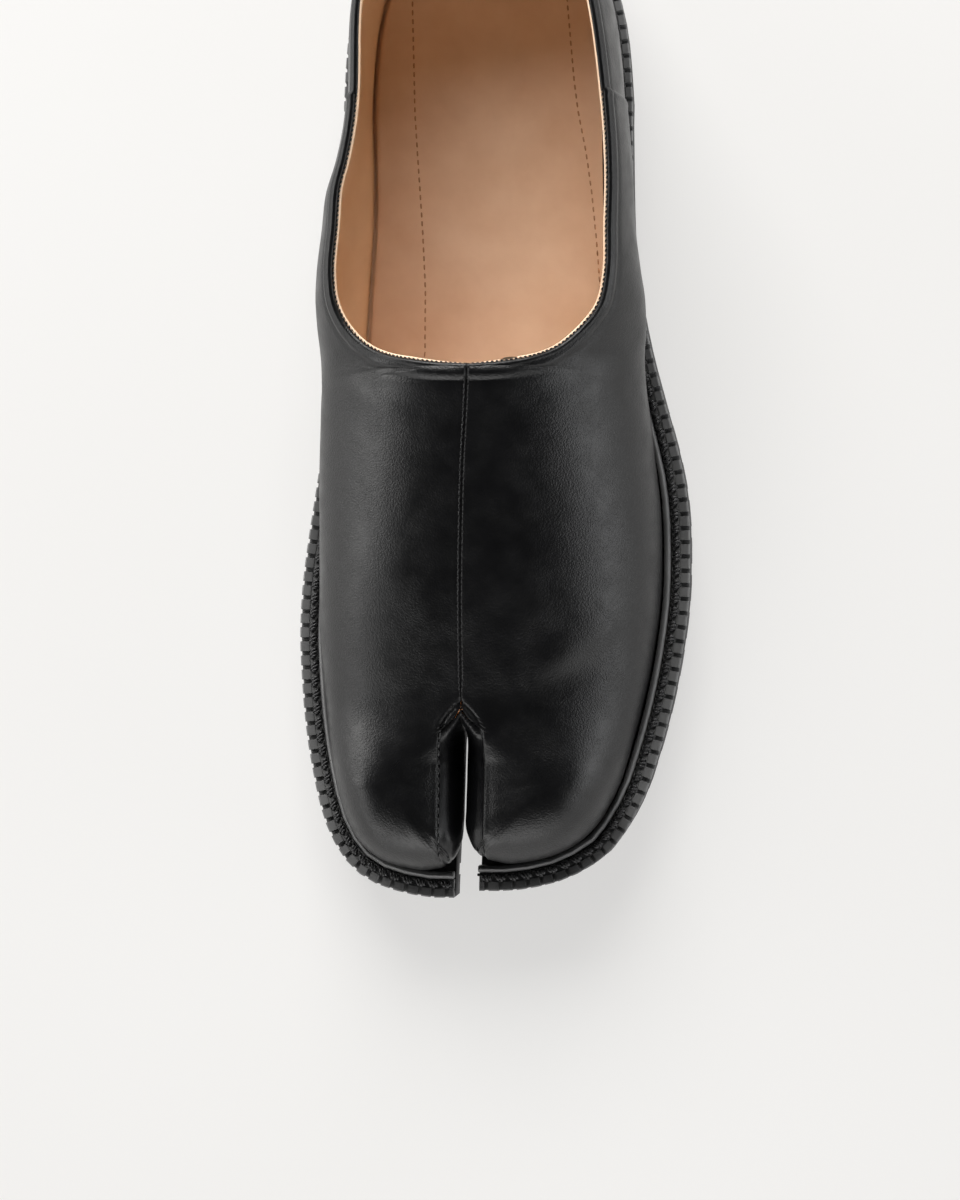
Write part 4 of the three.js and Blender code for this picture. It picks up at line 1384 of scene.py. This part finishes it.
            middle = self.line.at(surface[..., 1])
            aside = np.abs(surface[..., 0] - middle)
            foot = rows.points[:, -1:, 2]
            push = s.strip_push * smooth(aside, 3.2, 1.2) * smooth(surface[..., 2], foot + 1.0, foot + 6.0)
            push = push * smooth(surface[..., 1], -131.0, -120.0)
            closer = np.where(aside > s.strip_gap, np.maximum(aside - push, s.strip_gap), aside)
            surface[..., 0] = middle + np.sign(surface[..., 0] - middle) * closer
            piece.add(surface)
        return piece.build("slot_strip")

    def _lining(self) -> bpy.types.Object:
        """Makes the lining, a wall's thickness inside the leather.

        Returns:
            The piece.
        """
        skin = self.skin
        rows = skin.take(skin.span(0.0, skin.ring[-1], 2.6))
        first = np.where(rows.ridge > 0.5, 0.0, self.sizes.lining_start)[:, None]
        distance = first + np.linspace(0, 1, 26)[None, :] * (rows.length[:, None] - first)
        points, normals = rows.grid(distance)
        normals[:, 0] = np.where(first > 0, normals[:, 1], normals[:, 0])
        piece = Patches()
        piece.add(points - normals * self.places.wall, flip=True)
        return piece.build("lining")

    def inner_wall(self, height: Callable[[Array], Array]) -> tuple[Array, Array]:
        """Where the lining passes a height, on either side.

        Args:
            height: Gives the height at y.

        Returns:
            The inner and the outer side, as points in plan by rising y.
        """
        skin = self.skin
        rows = skin.take(skin.span(0.0, skin.ring[-1], 2.0))
        distance = np.linspace(0.12, 1, 80)[None, :] * rows.length[:, None]
        points, normals = rows.grid(distance)
        points = points - normals * self.places.wall
        over = points[..., 2] - height(points[..., 1])
        first = np.argmax(over < 0, axis=1)
        found = (first > 0) & (rows.points[:, -1, 1] > self.places.arch_tip_y - 4.0)
        row = np.arange(len(first))
        a, b = over[row, first - 1], over[row, first]
        share = (a / np.where(np.abs(a - b) < 1e-9, 1.0, a - b))[:, None]
        wall = (points[row, first - 1] * (1 - share) + points[row, first] * share)[found, :2]
        sides = []
        for side in Side:
            part = wall[(wall[:, 0] - self.line.at(wall[:, 1])) * side.value > 0]
            sides.append(part[np.argsort(part[:, 1])])
        return sides[0], sides[1]

    def _lining_edge(self) -> bpy.types.Object:
        """Makes the lining's pale raw edge along the collar, and its stitches.

        Returns:
            The piece.
        """
        s, skin = self.sizes, self.skin
        rows = skin.take(skin.span(skin.throat[0], skin.throat[1] - 1e-4, 0.8))
        out, rise = self._rim_frame(rows)
        start, width = 2 * s.roll_radius - 0.15, s.lining_edge
        top = rows.points[:, 0] + rise * 0.1
        profile = (
            (start, -0.1),
            (start + 0.12 * width, 0.3),
            (start + 0.5 * width, 0.45),
            (start + 0.9 * width, 0.3),
            (start + 1.06 * width, -0.1),
            (start + 1.0 * width, -1.6),
            (start + 0.75 * width, -3.0),
        )
        grid = np.stack([top - out * a + rise * b for a, b in profile], axis=1)
        piece = Patches()
        piece.add(grid, flip=True)
        edge = top - out * (start + 0.05) + rise * 0.3
        first, last, up = dashes(edge, rise, s.collar_stitch_pitch, 0.62)
        shift = unit(np.cross(last - first, up))
        self.stitches.append(("collar_stitches", first - shift * 0.12, last + shift * 0.2, up, 0.2, 0.16))
        return piece.build("lining_edge")

    def _seam_stitches(self) -> None:
        """Places the stitches of the centre seam and of the slot's strip."""
        s, skin = self.sizes, self.skin
        middle = skin.ring[-1] / 2
        for side in Side:
            low, high = (0.0, middle) if side is Side.INNER else (middle, skin.ring[-1])
            rows = skin.take(skin.span(low, high, 1.0))
            near = np.tile(np.array([0.0, 1.0, 2.0]) * s.seam_stitch_at, (len(rows.points), 1))
            points, normals = rows.grid(near)
            keep = (rows.ridge > 0.5) & (points[:, 0, 1] > self.places.arch_tip_y + 1.5)
            self._stitch_line(
                f"seam_stitches_{side.name.lower()}", points[keep, 1], normals[keep, 1], -0.1, s.seam_stitch_pitch, 0.15
            )
            start = self._strip_start(rows)
            cut = start < rows.length - 0.05
            if side is Side.INNER:
                reach = np.array([-2.0, -1.0, 0.0]) * s.strip_stitch_at
                points, normals = rows.grid(np.maximum(start[:, None] + reach[None], 0))
                keep = cut & (points[:, 1, 1] < self.places.arch_tip_y - 5.0)
                self._stitch_line(
                    "strip_stitches", points[keep, 1], normals[keep, 1], 0.12, s.strip_stitch_pitch, 0.26
                )

    def _stitch_line(self, name: str, line: Array, up: Array, lift: float, pitch: float, radius: float) -> None:
        """Keeps a row of stitches to be made.

        Args:
            name: Name of the piece.
            line: Points of the line in any order along y.
            up: Normals at the points.
            lift: Height of the threads over the surface.
            pitch: Distance between stitches.
            radius: Thread radius.
        """
        order = np.argsort(-line[:, 1])
        line, up = line[order], up[order]
        first, last, normal = dashes(line + up * lift, up, pitch, 0.66)
        self.stitches.append((name, first, last, normal, radius, 0.12))

    def dress(self, pieces: dict[str, bpy.types.Object], finishes: Finishes) -> None:
        """Gives the pieces their finishes.

        Args:
            pieces: The pieces by role.
            finishes: The materials.
        """
        dress(pieces["vamp_inner"], finishes.black, Slot.UPPER, "upper")
        dress(pieces["vamp_outer"], finishes.black, Slot.UPPER)
        dress(pieces["quarter"], finishes.black, Slot.UPPER)
        dress(pieces["strip"], finishes.gloss, Slot.UPPER)
        dress(pieces["lining"], finishes.lining, Slot.INSOLE)
        dress(pieces["lining_edge"], finishes.raw, Slot.INSOLE)
        for name, first, last, up, radius, arch in self.stitches:
            dress(threads(name, first, last, up, radius, arch), finishes.black_thread, Slot.UPPER)


# Welt, insole and sole


class Outline:
    """The sole's edge in plan, from the slot's inner side round the heel to its outer side."""

    def __init__(self, node: bpy.types.Object, line: CentreLine) -> None:
        """Reads it from the outsole.

        Args:
            node: The outsole's node.
            line: The slot's middle.
        """
        points, triangles = node_arrays(node)
        upward = triangles[unit(triangle_cross(points, triangles))[:, 2] > UPWARD]
        loop = max(boundary_loops(upward), key=len)
        ring = points[loop]
        in_slot = (np.abs(ring[:, 0] - line.at(ring[:, 1])) < 4.3) & (ring[:, 1] < -90)
        start = int(np.argmax(np.where(in_slot, ring[:, 1], -1e9)))
        ring = np.roll(ring, -start, axis=0)
        in_slot = np.roll(in_slot, -start)
        outside = np.flatnonzero(~in_slot)
        ring = ring[outside[0] - 1:outside[-1] + 2]
        if ring[0, 0] > ring[-1, 0]:
            ring = ring[::-1]
        self.points = ring
        size = np.linalg.norm(np.diff(ring[:, :2], axis=0), axis=1)
        self.way = np.concatenate([[0.0], np.cumsum(size)])

    def locate(self, points: Array) -> tuple[Array, Array]:
        """Way along the edge and distance from it.

        Args:
            points: Points, shape (n, 3).

        Returns:
            The way and the distance.
        """
        gap, share = polyline_distance(points[:, :2], self.points[:, :2])
        return share * self.way[-1], gap

    def frame(self, way: Array) -> tuple[Array, Array, Array]:
        """Edge points with directions.

        Args:
            way: Ways along the edge.

        Returns:
            Points on the sole's top edge, directions along it and directions inwards.
        """
        def take(w: Array) -> Array:
            return np.stack([np.interp(w, self.way, self.points[:, k]) for k in range(3)], axis=-1)

        along = unit(take(way + 2.0) - take(way - 2.0))
        inward = unit(np.cross(along, np.array([0.0, 0.0, 1.0])))
        middle = self.points[:, :2].mean(axis=0)
        sign = np.sign(np.sum((middle - take(way)[:, :2]) * inward[:, :2], axis=1))
        turn = 1.0 if np.median(sign) > 0 else -1.0
        return take(way), along, inward * turn


@dataclass(frozen=True)
class WeltSizes:
    """Sizes of the welt's stitching."""

    strand_radius: float = 0.44
    strand_reach: tuple[float, ...] = (0.75, 1.0, 0.8)
    strand_step: float = 0.23
    strand_slant: float = 0.62
    # Near-black dashes of painted shade at the stitch holes; the holes themselves are not cut.
    hole_shade_radius: float = 0.42
    hole_shade_length: float = 1.1
    hole_shade_at: float = 0.93
    band_inner: float = 4.9
    band_outer: float = 2.7
    end_margin: float = 0.7
    notch_width: float = 1.0
    notch_slope: float = 0.14
    rib: tuple[tuple[float, float], ...] = (
        (0.25, -3.7), (0.0, -3.3), (0.0, -0.6), (0.12, -0.2), (0.45, 0.0), (2.3, 0.0), (2.6, -0.15), (2.75, -0.45),
        (4.7, -0.5), (4.95, -0.75), (4.95, -3.7),
    )
    notch: tuple[tuple[float, float], ...] = (
        (0.25, -3.7), (0.0, -3.3), (0.1, -3.05), (0.4, -2.9), (1.2, -2.85), (2.35, -2.8), (2.6, -1.6), (2.75, -0.45),
        (4.7, -0.5), (4.95, -0.75), (4.95, -3.7),
    )


class Welt:
    """Ribbed welt, its bead and its lockstitches."""

    def __init__(self, nodes: dict[str, bpy.types.Object], outline: Outline, sizes: WeltSizes) -> None:
        """Keeps what the welt is made from.

        Args:
            nodes: The CAD nodes.
            outline: The sole's edge.
            sizes: Stitch sizes.
        """
        self.nodes = nodes
        self.outline = outline
        self.sizes = sizes

    def build(self) -> dict[str, bpy.types.Object]:
        """Makes the stitches.

        Returns:
            The pieces by role.
        """
        s = self.sizes
        points, _ = node_arrays(self.nodes["welt"])
        way, gap = self.outline.locate(points)
        base, _, _ = self.outline.frame(way)
        notch = (gap > 1.2) & (gap < 3.1) & (points[:, 2] - base[:, 2] > 2.0)
        order = np.argsort(way[notch])
        where, depth, height = way[notch][order], gap[notch][order], points[notch][order][:, 2]
        scale = depth / 2.6
        pitch = float(np.median(np.diff(where)))
        before = where[0] - pitch * np.arange(int((where[0] - s.end_margin) / pitch), 0, -1)
        room = self.outline.way[-1] - s.end_margin - where[-1]
        after = where[-1] + pitch * np.arange(1, int(room / pitch) + 1)
        full = np.concatenate([before, where, after])
        height = np.interp(full, where, height)
        scale = np.interp(full, where, scale)
        where = full
        up = np.array([0.0, 0.0, 1.0])
        starts, ends, ups = [], [], []
        for k, reach in enumerate(s.strand_reach):
            middle = where + (k - (len(s.strand_reach) - 1) / 2) * s.strand_step * pitch
            place, along, inward = self.outline.frame(middle)
            place[:, 2] = height - 0.28
            low = 0.5 * (s.band_inner + s.band_outer) - reach * 0.5 * (s.band_inner - s.band_outer)
            high = s.band_inner + s.band_outer - low
            slant = s.strand_slant * reach
            starts.append(place + inward * (low * scale)[:, None] - along * slant)
            ends.append(place + inward * (high * scale)[:, None] + along * slant)
            ups.append(np.tile(up, (len(middle), 1)))
        stitches = threads(
            "welt_stitches", np.concatenate(starts), np.concatenate(ends), np.concatenate(ups), s.strand_radius, 0.5
        )
        # Near-black dashes between the notches: painted shade where the stitch holes are, laid on the welt rather than
        # cut into it.
        place, along, inward = self.outline.frame(where + pitch / 2)
        place[:, 2] = height - 0.1
        centre = place + inward * (s.band_inner * scale)[:, None] * s.hole_shade_at
        half = along * s.hole_shade_length / 2
        hole_shades = threads("welt_hole_shades", centre - half, centre + half, np.tile(up, (len(centre), 1)), s.hole_shade_radius, 0.05)
        LOG.info("welt: %d notches, pitch %.2f mm", len(where), pitch)
        return {"band": self._band(where, scale, height, pitch), "stitches": stitches, "hole_shades": hole_shades}

    def _band(self, where: Array, scale: Array, height: Array, pitch: float) -> bpy.types.Object:
        """Makes the ribbed band.

        Args:
            where: Ways of the notches.
            scale: Width of the welt at each notch, as a share of its full width.
            height: Height of its top at each notch.
            pitch: Distance between notches.

        Returns:
            The piece.
        """
        s = self.sizes
        half, slope = s.notch_width / 2, s.notch_slope
        offsets = np.array([-half - slope, -half, half, half + slope, pitch / 2])
        way = (where[:, None] + offsets).ravel()
        deep = np.tile(np.array([False, True, True, False, False]), len(where))
        way = np.concatenate([[0.0], way[:-1], [self.outline.way[-1]]])
        deep = np.concatenate([[False], deep[:-1], [False]])
        place, _, inward = self.outline.frame(way)
        profile = np.where(deep[:, None, None], np.array(s.notch)[None], np.array(s.rib)[None])
        inset = profile[..., 0] * np.interp(way, where, scale)[:, None]
        grid = place[:, None] + inward[:, None] * inset[..., None]
        grid[..., 2] = np.interp(way, where, height)[:, None] + profile[..., 1]
        caps = [np.repeat(grid[k].mean(axis=0)[None, None], grid.shape[1], axis=1) for k in (0, -1)]
        band = Patches()
        band.add(np.concatenate([caps[0], grid, caps[1]]))
        obj = make_object("welt_band", np.concatenate(band.points), band.faces)
        obj.data.set_sharp_from_angle(angle=math.radians(28))
        return obj

    def dress(self, pieces: dict[str, bpy.types.Object], finishes: Finishes) -> None:
        """Gives welt, bead and stitches their finishes.

        Args:
            pieces: The pieces by role.
            finishes: The materials.
        """
        dress(pieces["band"], finishes.welt, Slot.WELT, "welt")
        dress(pieces["stitches"], finishes.black_thread, Slot.WELT)
        # The near-black dashes are painted shade of the needle holes.
        dress(pieces["hole_shades"], finishes.hole_shade, Slot.WELT)
        finish_node(self.nodes["welt_bead"], finishes.welt, 0.35)


def finish_node(node: bpy.types.Object, material: bpy.types.Material, bevel: float) -> None:
    """Gives a CAD node a material and softened edges.

    Args:
        node: The node's object.
        material: Its material.
        bevel: Width of the softened edges.
    """
    node.data.materials.clear()
    node.data.materials.append(material)
    weld = node.modifiers.new("weld", "WELD")
    weld.merge_threshold = MERGE_DISTANCE * MM
    edges = node.modifiers.new("bevel", "BEVEL")
    edges.width = bevel * MM
    edges.segments = 2
    edges.limit_method = "ANGLE"
    edges.angle_limit = math.radians(32)
    edges.harden_normals = True
    node.data.shade_smooth()


@dataclass(frozen=True)
class InsoleSizes:
    """Sizes of the insole's pad and stitching."""

    lift: float = 0.3
    front: float = -84.0
    toes_back: float = -79.0
    inner_gap: float = 1.1
    outer_gap: float = 0.35
    heel_gap: float = 0.8
    cup: float = 1.7
    cup_width: float = 6.5
    thickness: float = 2.2
    ledge: float = 1.6
    pitch: float = 2.4
    radius: float = 0.24
    inner_row: tuple[tuple[float, float], ...] = (
        (-19.5, 123.0), (-21.1, 103.0), (-20.8, 87.0), (-20.6, 73.0), (-19.8, 57.0), (-19.0, 41.0), (-18.5, 25.0),
        (-18.9, 8.0), (-21.0, -14.0), (-24.0, -40.0),
    )
    outer_row: tuple[tuple[float, float], ...] = (
        (20.0, 121.0), (21.8, 99.0), (23.3, 81.0), (24.3, 73.0), (26.4, 62.0), (27.9, 51.0), (29.1, 38.0),
        (30.2, 22.0), (31.5, 0.0), (33.0, -25.0),
    )


class Insole:
    """Tan insole: a cupped pad with two rows of stitches."""

    def __init__(self, node: bpy.types.Object, upper: Upper, sizes: InsoleSizes) -> None:
        """Reads the height of the insole.

        Args:
            node: Its CAD node.
            upper: The upper round it.
            sizes: Sizes of its pad and stitching.
        """
        self.sizes = sizes
        self.solid = points, triangles = node_arrays(node)
        top = np.unique(triangles[unit(triangle_cross(points, triangles))[:, 2] > UPWARD])
        self.top = points[top[np.argsort(points[top, 1])]]
        self.inner, self.outer = upper.inner_wall(self.height)

    def _toes(self) -> bpy.types.Object:
        """Makes the part of the insole under the toes, ahead of the pad.

        Returns:
            The piece.
        """
        points, triangles = self.solid
        mesh = bmesh.new()
        corners = [mesh.verts.new(point) for point in points]
        for triangle in triangles:
            mesh.faces.new([corners[k] for k in triangle])
        cut = bmesh.ops.bisect_plane(
            mesh, geom=mesh.verts[:] + mesh.edges[:] + mesh.faces[:], plane_co=(0.0, self.sizes.toes_back, 0.0),
            plane_no=(0.0, 1.0, 0.0), clear_outer=True,
        )
        edges = [item for item in cut["geom_cut"] if isinstance(item, bmesh.types.BMEdge)]
        bmesh.ops.holes_fill(mesh, edges=edges)
        mesh.verts.index_update()
        faces = [[corner.index for corner in face.verts] for face in mesh.faces]
        toes = make_object("insole_toes", np.array([vertex.co for vertex in mesh.verts]), faces)
        toes.data.set_sharp_from_angle(angle=math.radians(35))
        mesh.free()
        return toes

    def height(self, y: Array) -> Array:
        """Height of the pad's middle.

        Args:
            y: Places along the shoe.

        Returns:
            Heights in millimetres.
        """
        return np.interp(y, self.top[:, 1], self.top[:, 2]) + self.sizes.lift

    def _edges(self, y: Array) -> tuple[Array, Array]:
        """Edges of the pad.

        Args:
            y: Places along the shoe.

        Returns:
            x of the inner and of the outer edge.
        """
        s = self.sizes
        inner = np.interp(y, self.inner[:, 1], self.inner[:, 0]) + s.inner_gap
        outer = np.interp(y, self.outer[:, 1], self.outer[:, 0]) - s.outer_gap
        return inner, np.maximum(outer, inner + 1.0)

    def surface(self, x: Array, y: Array) -> Array:
        """Height of the pad with its cupped edges.

        Args:
            x: Places across the shoe.
            y: Places along the shoe.

        Returns:
            Heights in millimetres.
        """
        s = self.sizes
        inner, outer = self._edges(y)
        rise = s.cup * np.clip(1 - (outer - x) / s.cup_width, 0, 1) ** 1.6
        fall = 0.5 * np.clip(1 - (x - inner) / 1.2, 0, 1) ** 2
        return self.height(y) + rise - fall

    def build(self) -> dict[str, bpy.types.Object]:
        """Makes the pad and its stitches.

        Returns:
            The pieces by role.
        """
        s = self.sizes
        back = min(self.inner[-1, 1], self.outer[-1, 1]) - s.heel_gap
        y = s.front + (back - s.front) * np.sin(np.linspace(0, 1, 110) * np.pi / 2)
        inner, outer = self._edges(y)
        share = (1 - np.cos(np.linspace(0, 1, 48) * np.pi)) / 2
        x = inner[:, None] + (outer - inner)[:, None] * share[None]
        along = np.tile(y[:, None], (1, len(share)))
        grid = np.stack([x, along, self.surface(x, along)], axis=2)
        drop = np.array([0.0, 0.0, s.thickness])
        ledge = grid[:, :1] - drop - np.array([s.inner_gap + s.ledge, 0.0, 0.0])
        grid = np.concatenate([ledge, grid[:, :1] - drop, grid, grid[:, -1:] - drop], axis=1)
        pad = Patches()
        pad.add(grid, flip=True)
        pieces = {"pad": pad.build("insole_pad"), "toes": self._toes()}
        for role, row in (("inner_row", s.inner_row), ("outer_row", s.outer_row)):
            plan = np.array(row)
            y = np.linspace(plan[0, 1], plan[-1, 1], 120)
            x = np.interp(-y, -plan[:, 1], plan[:, 0])
            line = np.stack([x, y, self.surface(x, y) + 0.02], axis=1)
            up = np.tile(np.array([0.0, 0.0, 1.0]), (len(line), 1))
            first, last, normal = dashes(line, up, s.pitch, 0.6)
            pieces[role] = threads(f"insole_{role}", first, last, normal, s.radius, 0.03)
        return pieces

    def dress(self, pieces: dict[str, bpy.types.Object], finishes: Finishes) -> None:
        """Gives pad and stitches their finishes.

        Args:
            pieces: The pieces by role.
            finishes: The materials.
        """
        dress(pieces["pad"], finishes.tan, Slot.INSOLE, "insole")
        dress(pieces["toes"], finishes.tan, Slot.INSOLE)
        dress(pieces["inner_row"], finishes.tan_thread, Slot.INSOLE)
        dress(pieces["outer_row"], finishes.tan_thread, Slot.INSOLE)


class Sole:
    """Outsole, heel and top piece, as the CAD gives them."""

    def __init__(self, nodes: dict[str, bpy.types.Object]) -> None:
        """Keeps the nodes.

        Args:
            nodes: The CAD nodes.
        """
        self.nodes = nodes

    def dress(self, finishes: Finishes) -> None:
        """Gives the nodes their finish.

        Args:
            finishes: The materials.
        """
        for name in ("outsole", "heel", "heel_top_piece"):
            finish_node(self.nodes[name], finishes.sole, 0.5)


# Stage


@dataclass(frozen=True)
class Softbox:
    """A large soft light."""

    name: str
    place: tuple[float, float, float]
    aim: tuple[float, float, float]
    size: tuple[float, float]
    power: float
    colour: tuple[float, float, float] = (1.0, 1.0, 1.0)


@dataclass(frozen=True)
class StageSizes:
    """Camera, floor and lights."""

    camera: tuple[float, float, float] = (0.0938, -0.0608, 0.9448)
    target: tuple[float, float, float] = (-0.0055, -0.0608, 0.0)
    lens: float = 100.9
    floor_half: float = 5.0
    floor_dark: tuple[float, float, float] = (0.279, 0.275, 0.269)
    floor_light: tuple[float, float, float] = (0.294, 0.292, 0.289)
    floor_glow: float = 2.03
    lights: tuple[Softbox, ...] = (
        Softbox("left", (-1.7, 0.5, 0.36), (0.0, -0.05, 0.0), (1.6, 0.7), 13.0, (1.0, 0.985, 0.96)),
        Softbox("right", (1.7, -0.2, 0.36), (0.0, -0.05, 0.0), (1.6, 0.7), 9.0, (0.97, 0.985, 1.0)),
        Softbox("toe", (-0.3, -1.8, 0.45), (0.0, -0.05, 0.0), (1.8, 0.6), 8.0, (1.0, 0.99, 0.98)),
        Softbox("heel", (-0.25, 1.5, 1.15), (0.0, 0.0, 0.0), (1.5, 0.9), 55.0, (1.0, 0.99, 0.97)),
    )
    zenith: float = 0.02
    shoulder: float = 0.42
    horizon: float = 8.0
    slant: float = 0.3


class Stage:
    """Plain floor, soft studio light and the camera."""

    def __init__(self, sizes: StageSizes) -> None:
        """Keeps the sizes.

        Args:
            sizes: Camera, floor and lights.
        """
        self.sizes = sizes

    def build(self) -> None:
        """Makes the floor, the world, the lights and the camera."""
        self._floor()
        self._world()
        for box in self.sizes.lights:
            self._light(box)
        self._camera()

    def _floor(self) -> None:
        """Makes the floor."""
        half = self.sizes.floor_half / MM
        corners = np.array([(-half, -half, 0), (half, -half, 0), (half, half, 0), (-half, half, 0)])
        floor = make_object("floor", corners - np.array([0, 0, 0.05]), [(0, 1, 2, 3)])
        material = bpy.data.materials.new("floor_paper")
        material.use_nodes = True
        shader = material.node_tree.nodes["Principled BSDF"]
        nodes = Nodes(material.node_tree)
        where = nodes.add("ShaderNodeTexCoord").outputs["Object"]
        tone = nodes.noise(where, 3.0, 2.0)
        s = self.sizes
        mix = nodes.add("ShaderNodeMix", {0: tone, 6: (*s.floor_dark, 1), 7: (*s.floor_light, 1)}, data_type="RGBA")
        nodes.tree.links.new(mix.outputs[2], shader.inputs["Base Color"])
        nodes.tree.links.new(mix.outputs[2], shader.inputs["Emission Color"])
        shader.inputs["Emission Strength"].default_value = s.floor_glow
        shader.inputs["Roughness"].default_value = 0.75
        shader.inputs["Specular IOR Level"].default_value = 0.2
        floor.data.materials.append(material)

    def _world(self) -> None:
        """Makes a world that is bright at the horizon and dim overhead."""
        world = bpy.data.worlds.new("studio")
        world.use_nodes = True
        bpy.context.scene.world = world
        nodes = Nodes(world.node_tree)
        background = world.node_tree.nodes["Background"]
        where = nodes.add("ShaderNodeTexCoord").outputs["Generated"]
        split = nodes.add("ShaderNodeSeparateXYZ", {0: where})
        height = split.outputs["Z"]
        s = self.sizes
        upper = nodes.add(
            "ShaderNodeMapRange", {0: height, 1: 0.30, 2: 0.64, 3: s.shoulder, 4: s.zenith}, interpolation_type="SMOOTHSTEP"
        ).outputs[0]
        level = nodes.math("MULTIPLY", upper, nodes.ramp(height, 0.0, 0.36, s.horizon, 1.0))
        level = nodes.math("MULTIPLY", level, nodes.ramp(split.outputs["X"], -0.9, 0.9, 1 + s.slant, 1 - s.slant))
        nodes.tree.links.new(level, background.inputs[1])
        background.inputs[0].default_value = (1.0, 0.995, 0.985, 1.0)

    def _light(self, box: Softbox) -> None:
        """Makes a softbox.

        Args:
            box: Its sizes.
        """
        data = bpy.data.lights.new(box.name, "AREA")
        data.shape = "RECTANGLE"
        data.size, data.size_y = box.size
        data.energy = box.power
        data.color = box.colour
        light = bpy.data.objects.new(f"light_{box.name}", data)
        bpy.context.scene.collection.objects.link(light)
        light.location = box.place
        light.rotation_euler = (Vector(box.aim) - Vector(box.place)).to_track_quat("-Z", "Y").to_euler()

    def _camera(self) -> None:
        """Makes the camera at the photograph's angle."""
        data = bpy.data.cameras.new("camera")
        camera = bpy.data.objects.new("camera", data)
        bpy.context.scene.collection.objects.link(camera)
        data.sensor_width = 36.0
        data.lens = self.sizes.lens
        data.clip_start, data.clip_end = 0.05, 20.0
        place, target = Vector(self.sizes.camera), Vector(self.sizes.target)
        back = (place - target).normalized()
        up = Vector((0, 1, 0))
        side = up.cross(back).normalized()
        turn = Matrix((side, back.cross(side), back)).transposed()
        camera.matrix_world = Matrix.Translation(place) @ turn.to_4x4()
        bpy.context.scene.camera = camera


def corners(bounds: tuple[Vector, Vector]) -> list[list[float]]:
    """Bounds as plain lists.

    Args:
        bounds: Lowest and highest corner.

    Returns:
        The two corners.
    """
    return [list(bounds[0]), list(bounds[1])]


def main() -> None:
    """Builds the shoe's looks and the stage."""
    logging.basicConfig(level=logging.INFO, format="%(message)s")
    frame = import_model()
    nodes = frame["nodes"]
    bpy.context.scene.view_settings.view_transform = "Standard"
    finishes = Finishes()
    upper = Upper(nodes["upper"], UpperSizes())
    upper.dress(upper.build(), finishes)
    outline = Outline(nodes["outsole"], upper.line)
    welt = Welt(nodes, outline, WeltSizes())
    welt.dress(welt.build(), finishes)
    insole = Insole(nodes["insole"], upper, InsoleSizes())
    insole.dress(insole.build(), finishes)
    Sole(nodes).dress(finishes)
    Stage(StageSizes()).build()


if __name__ == "__main__":
    main()
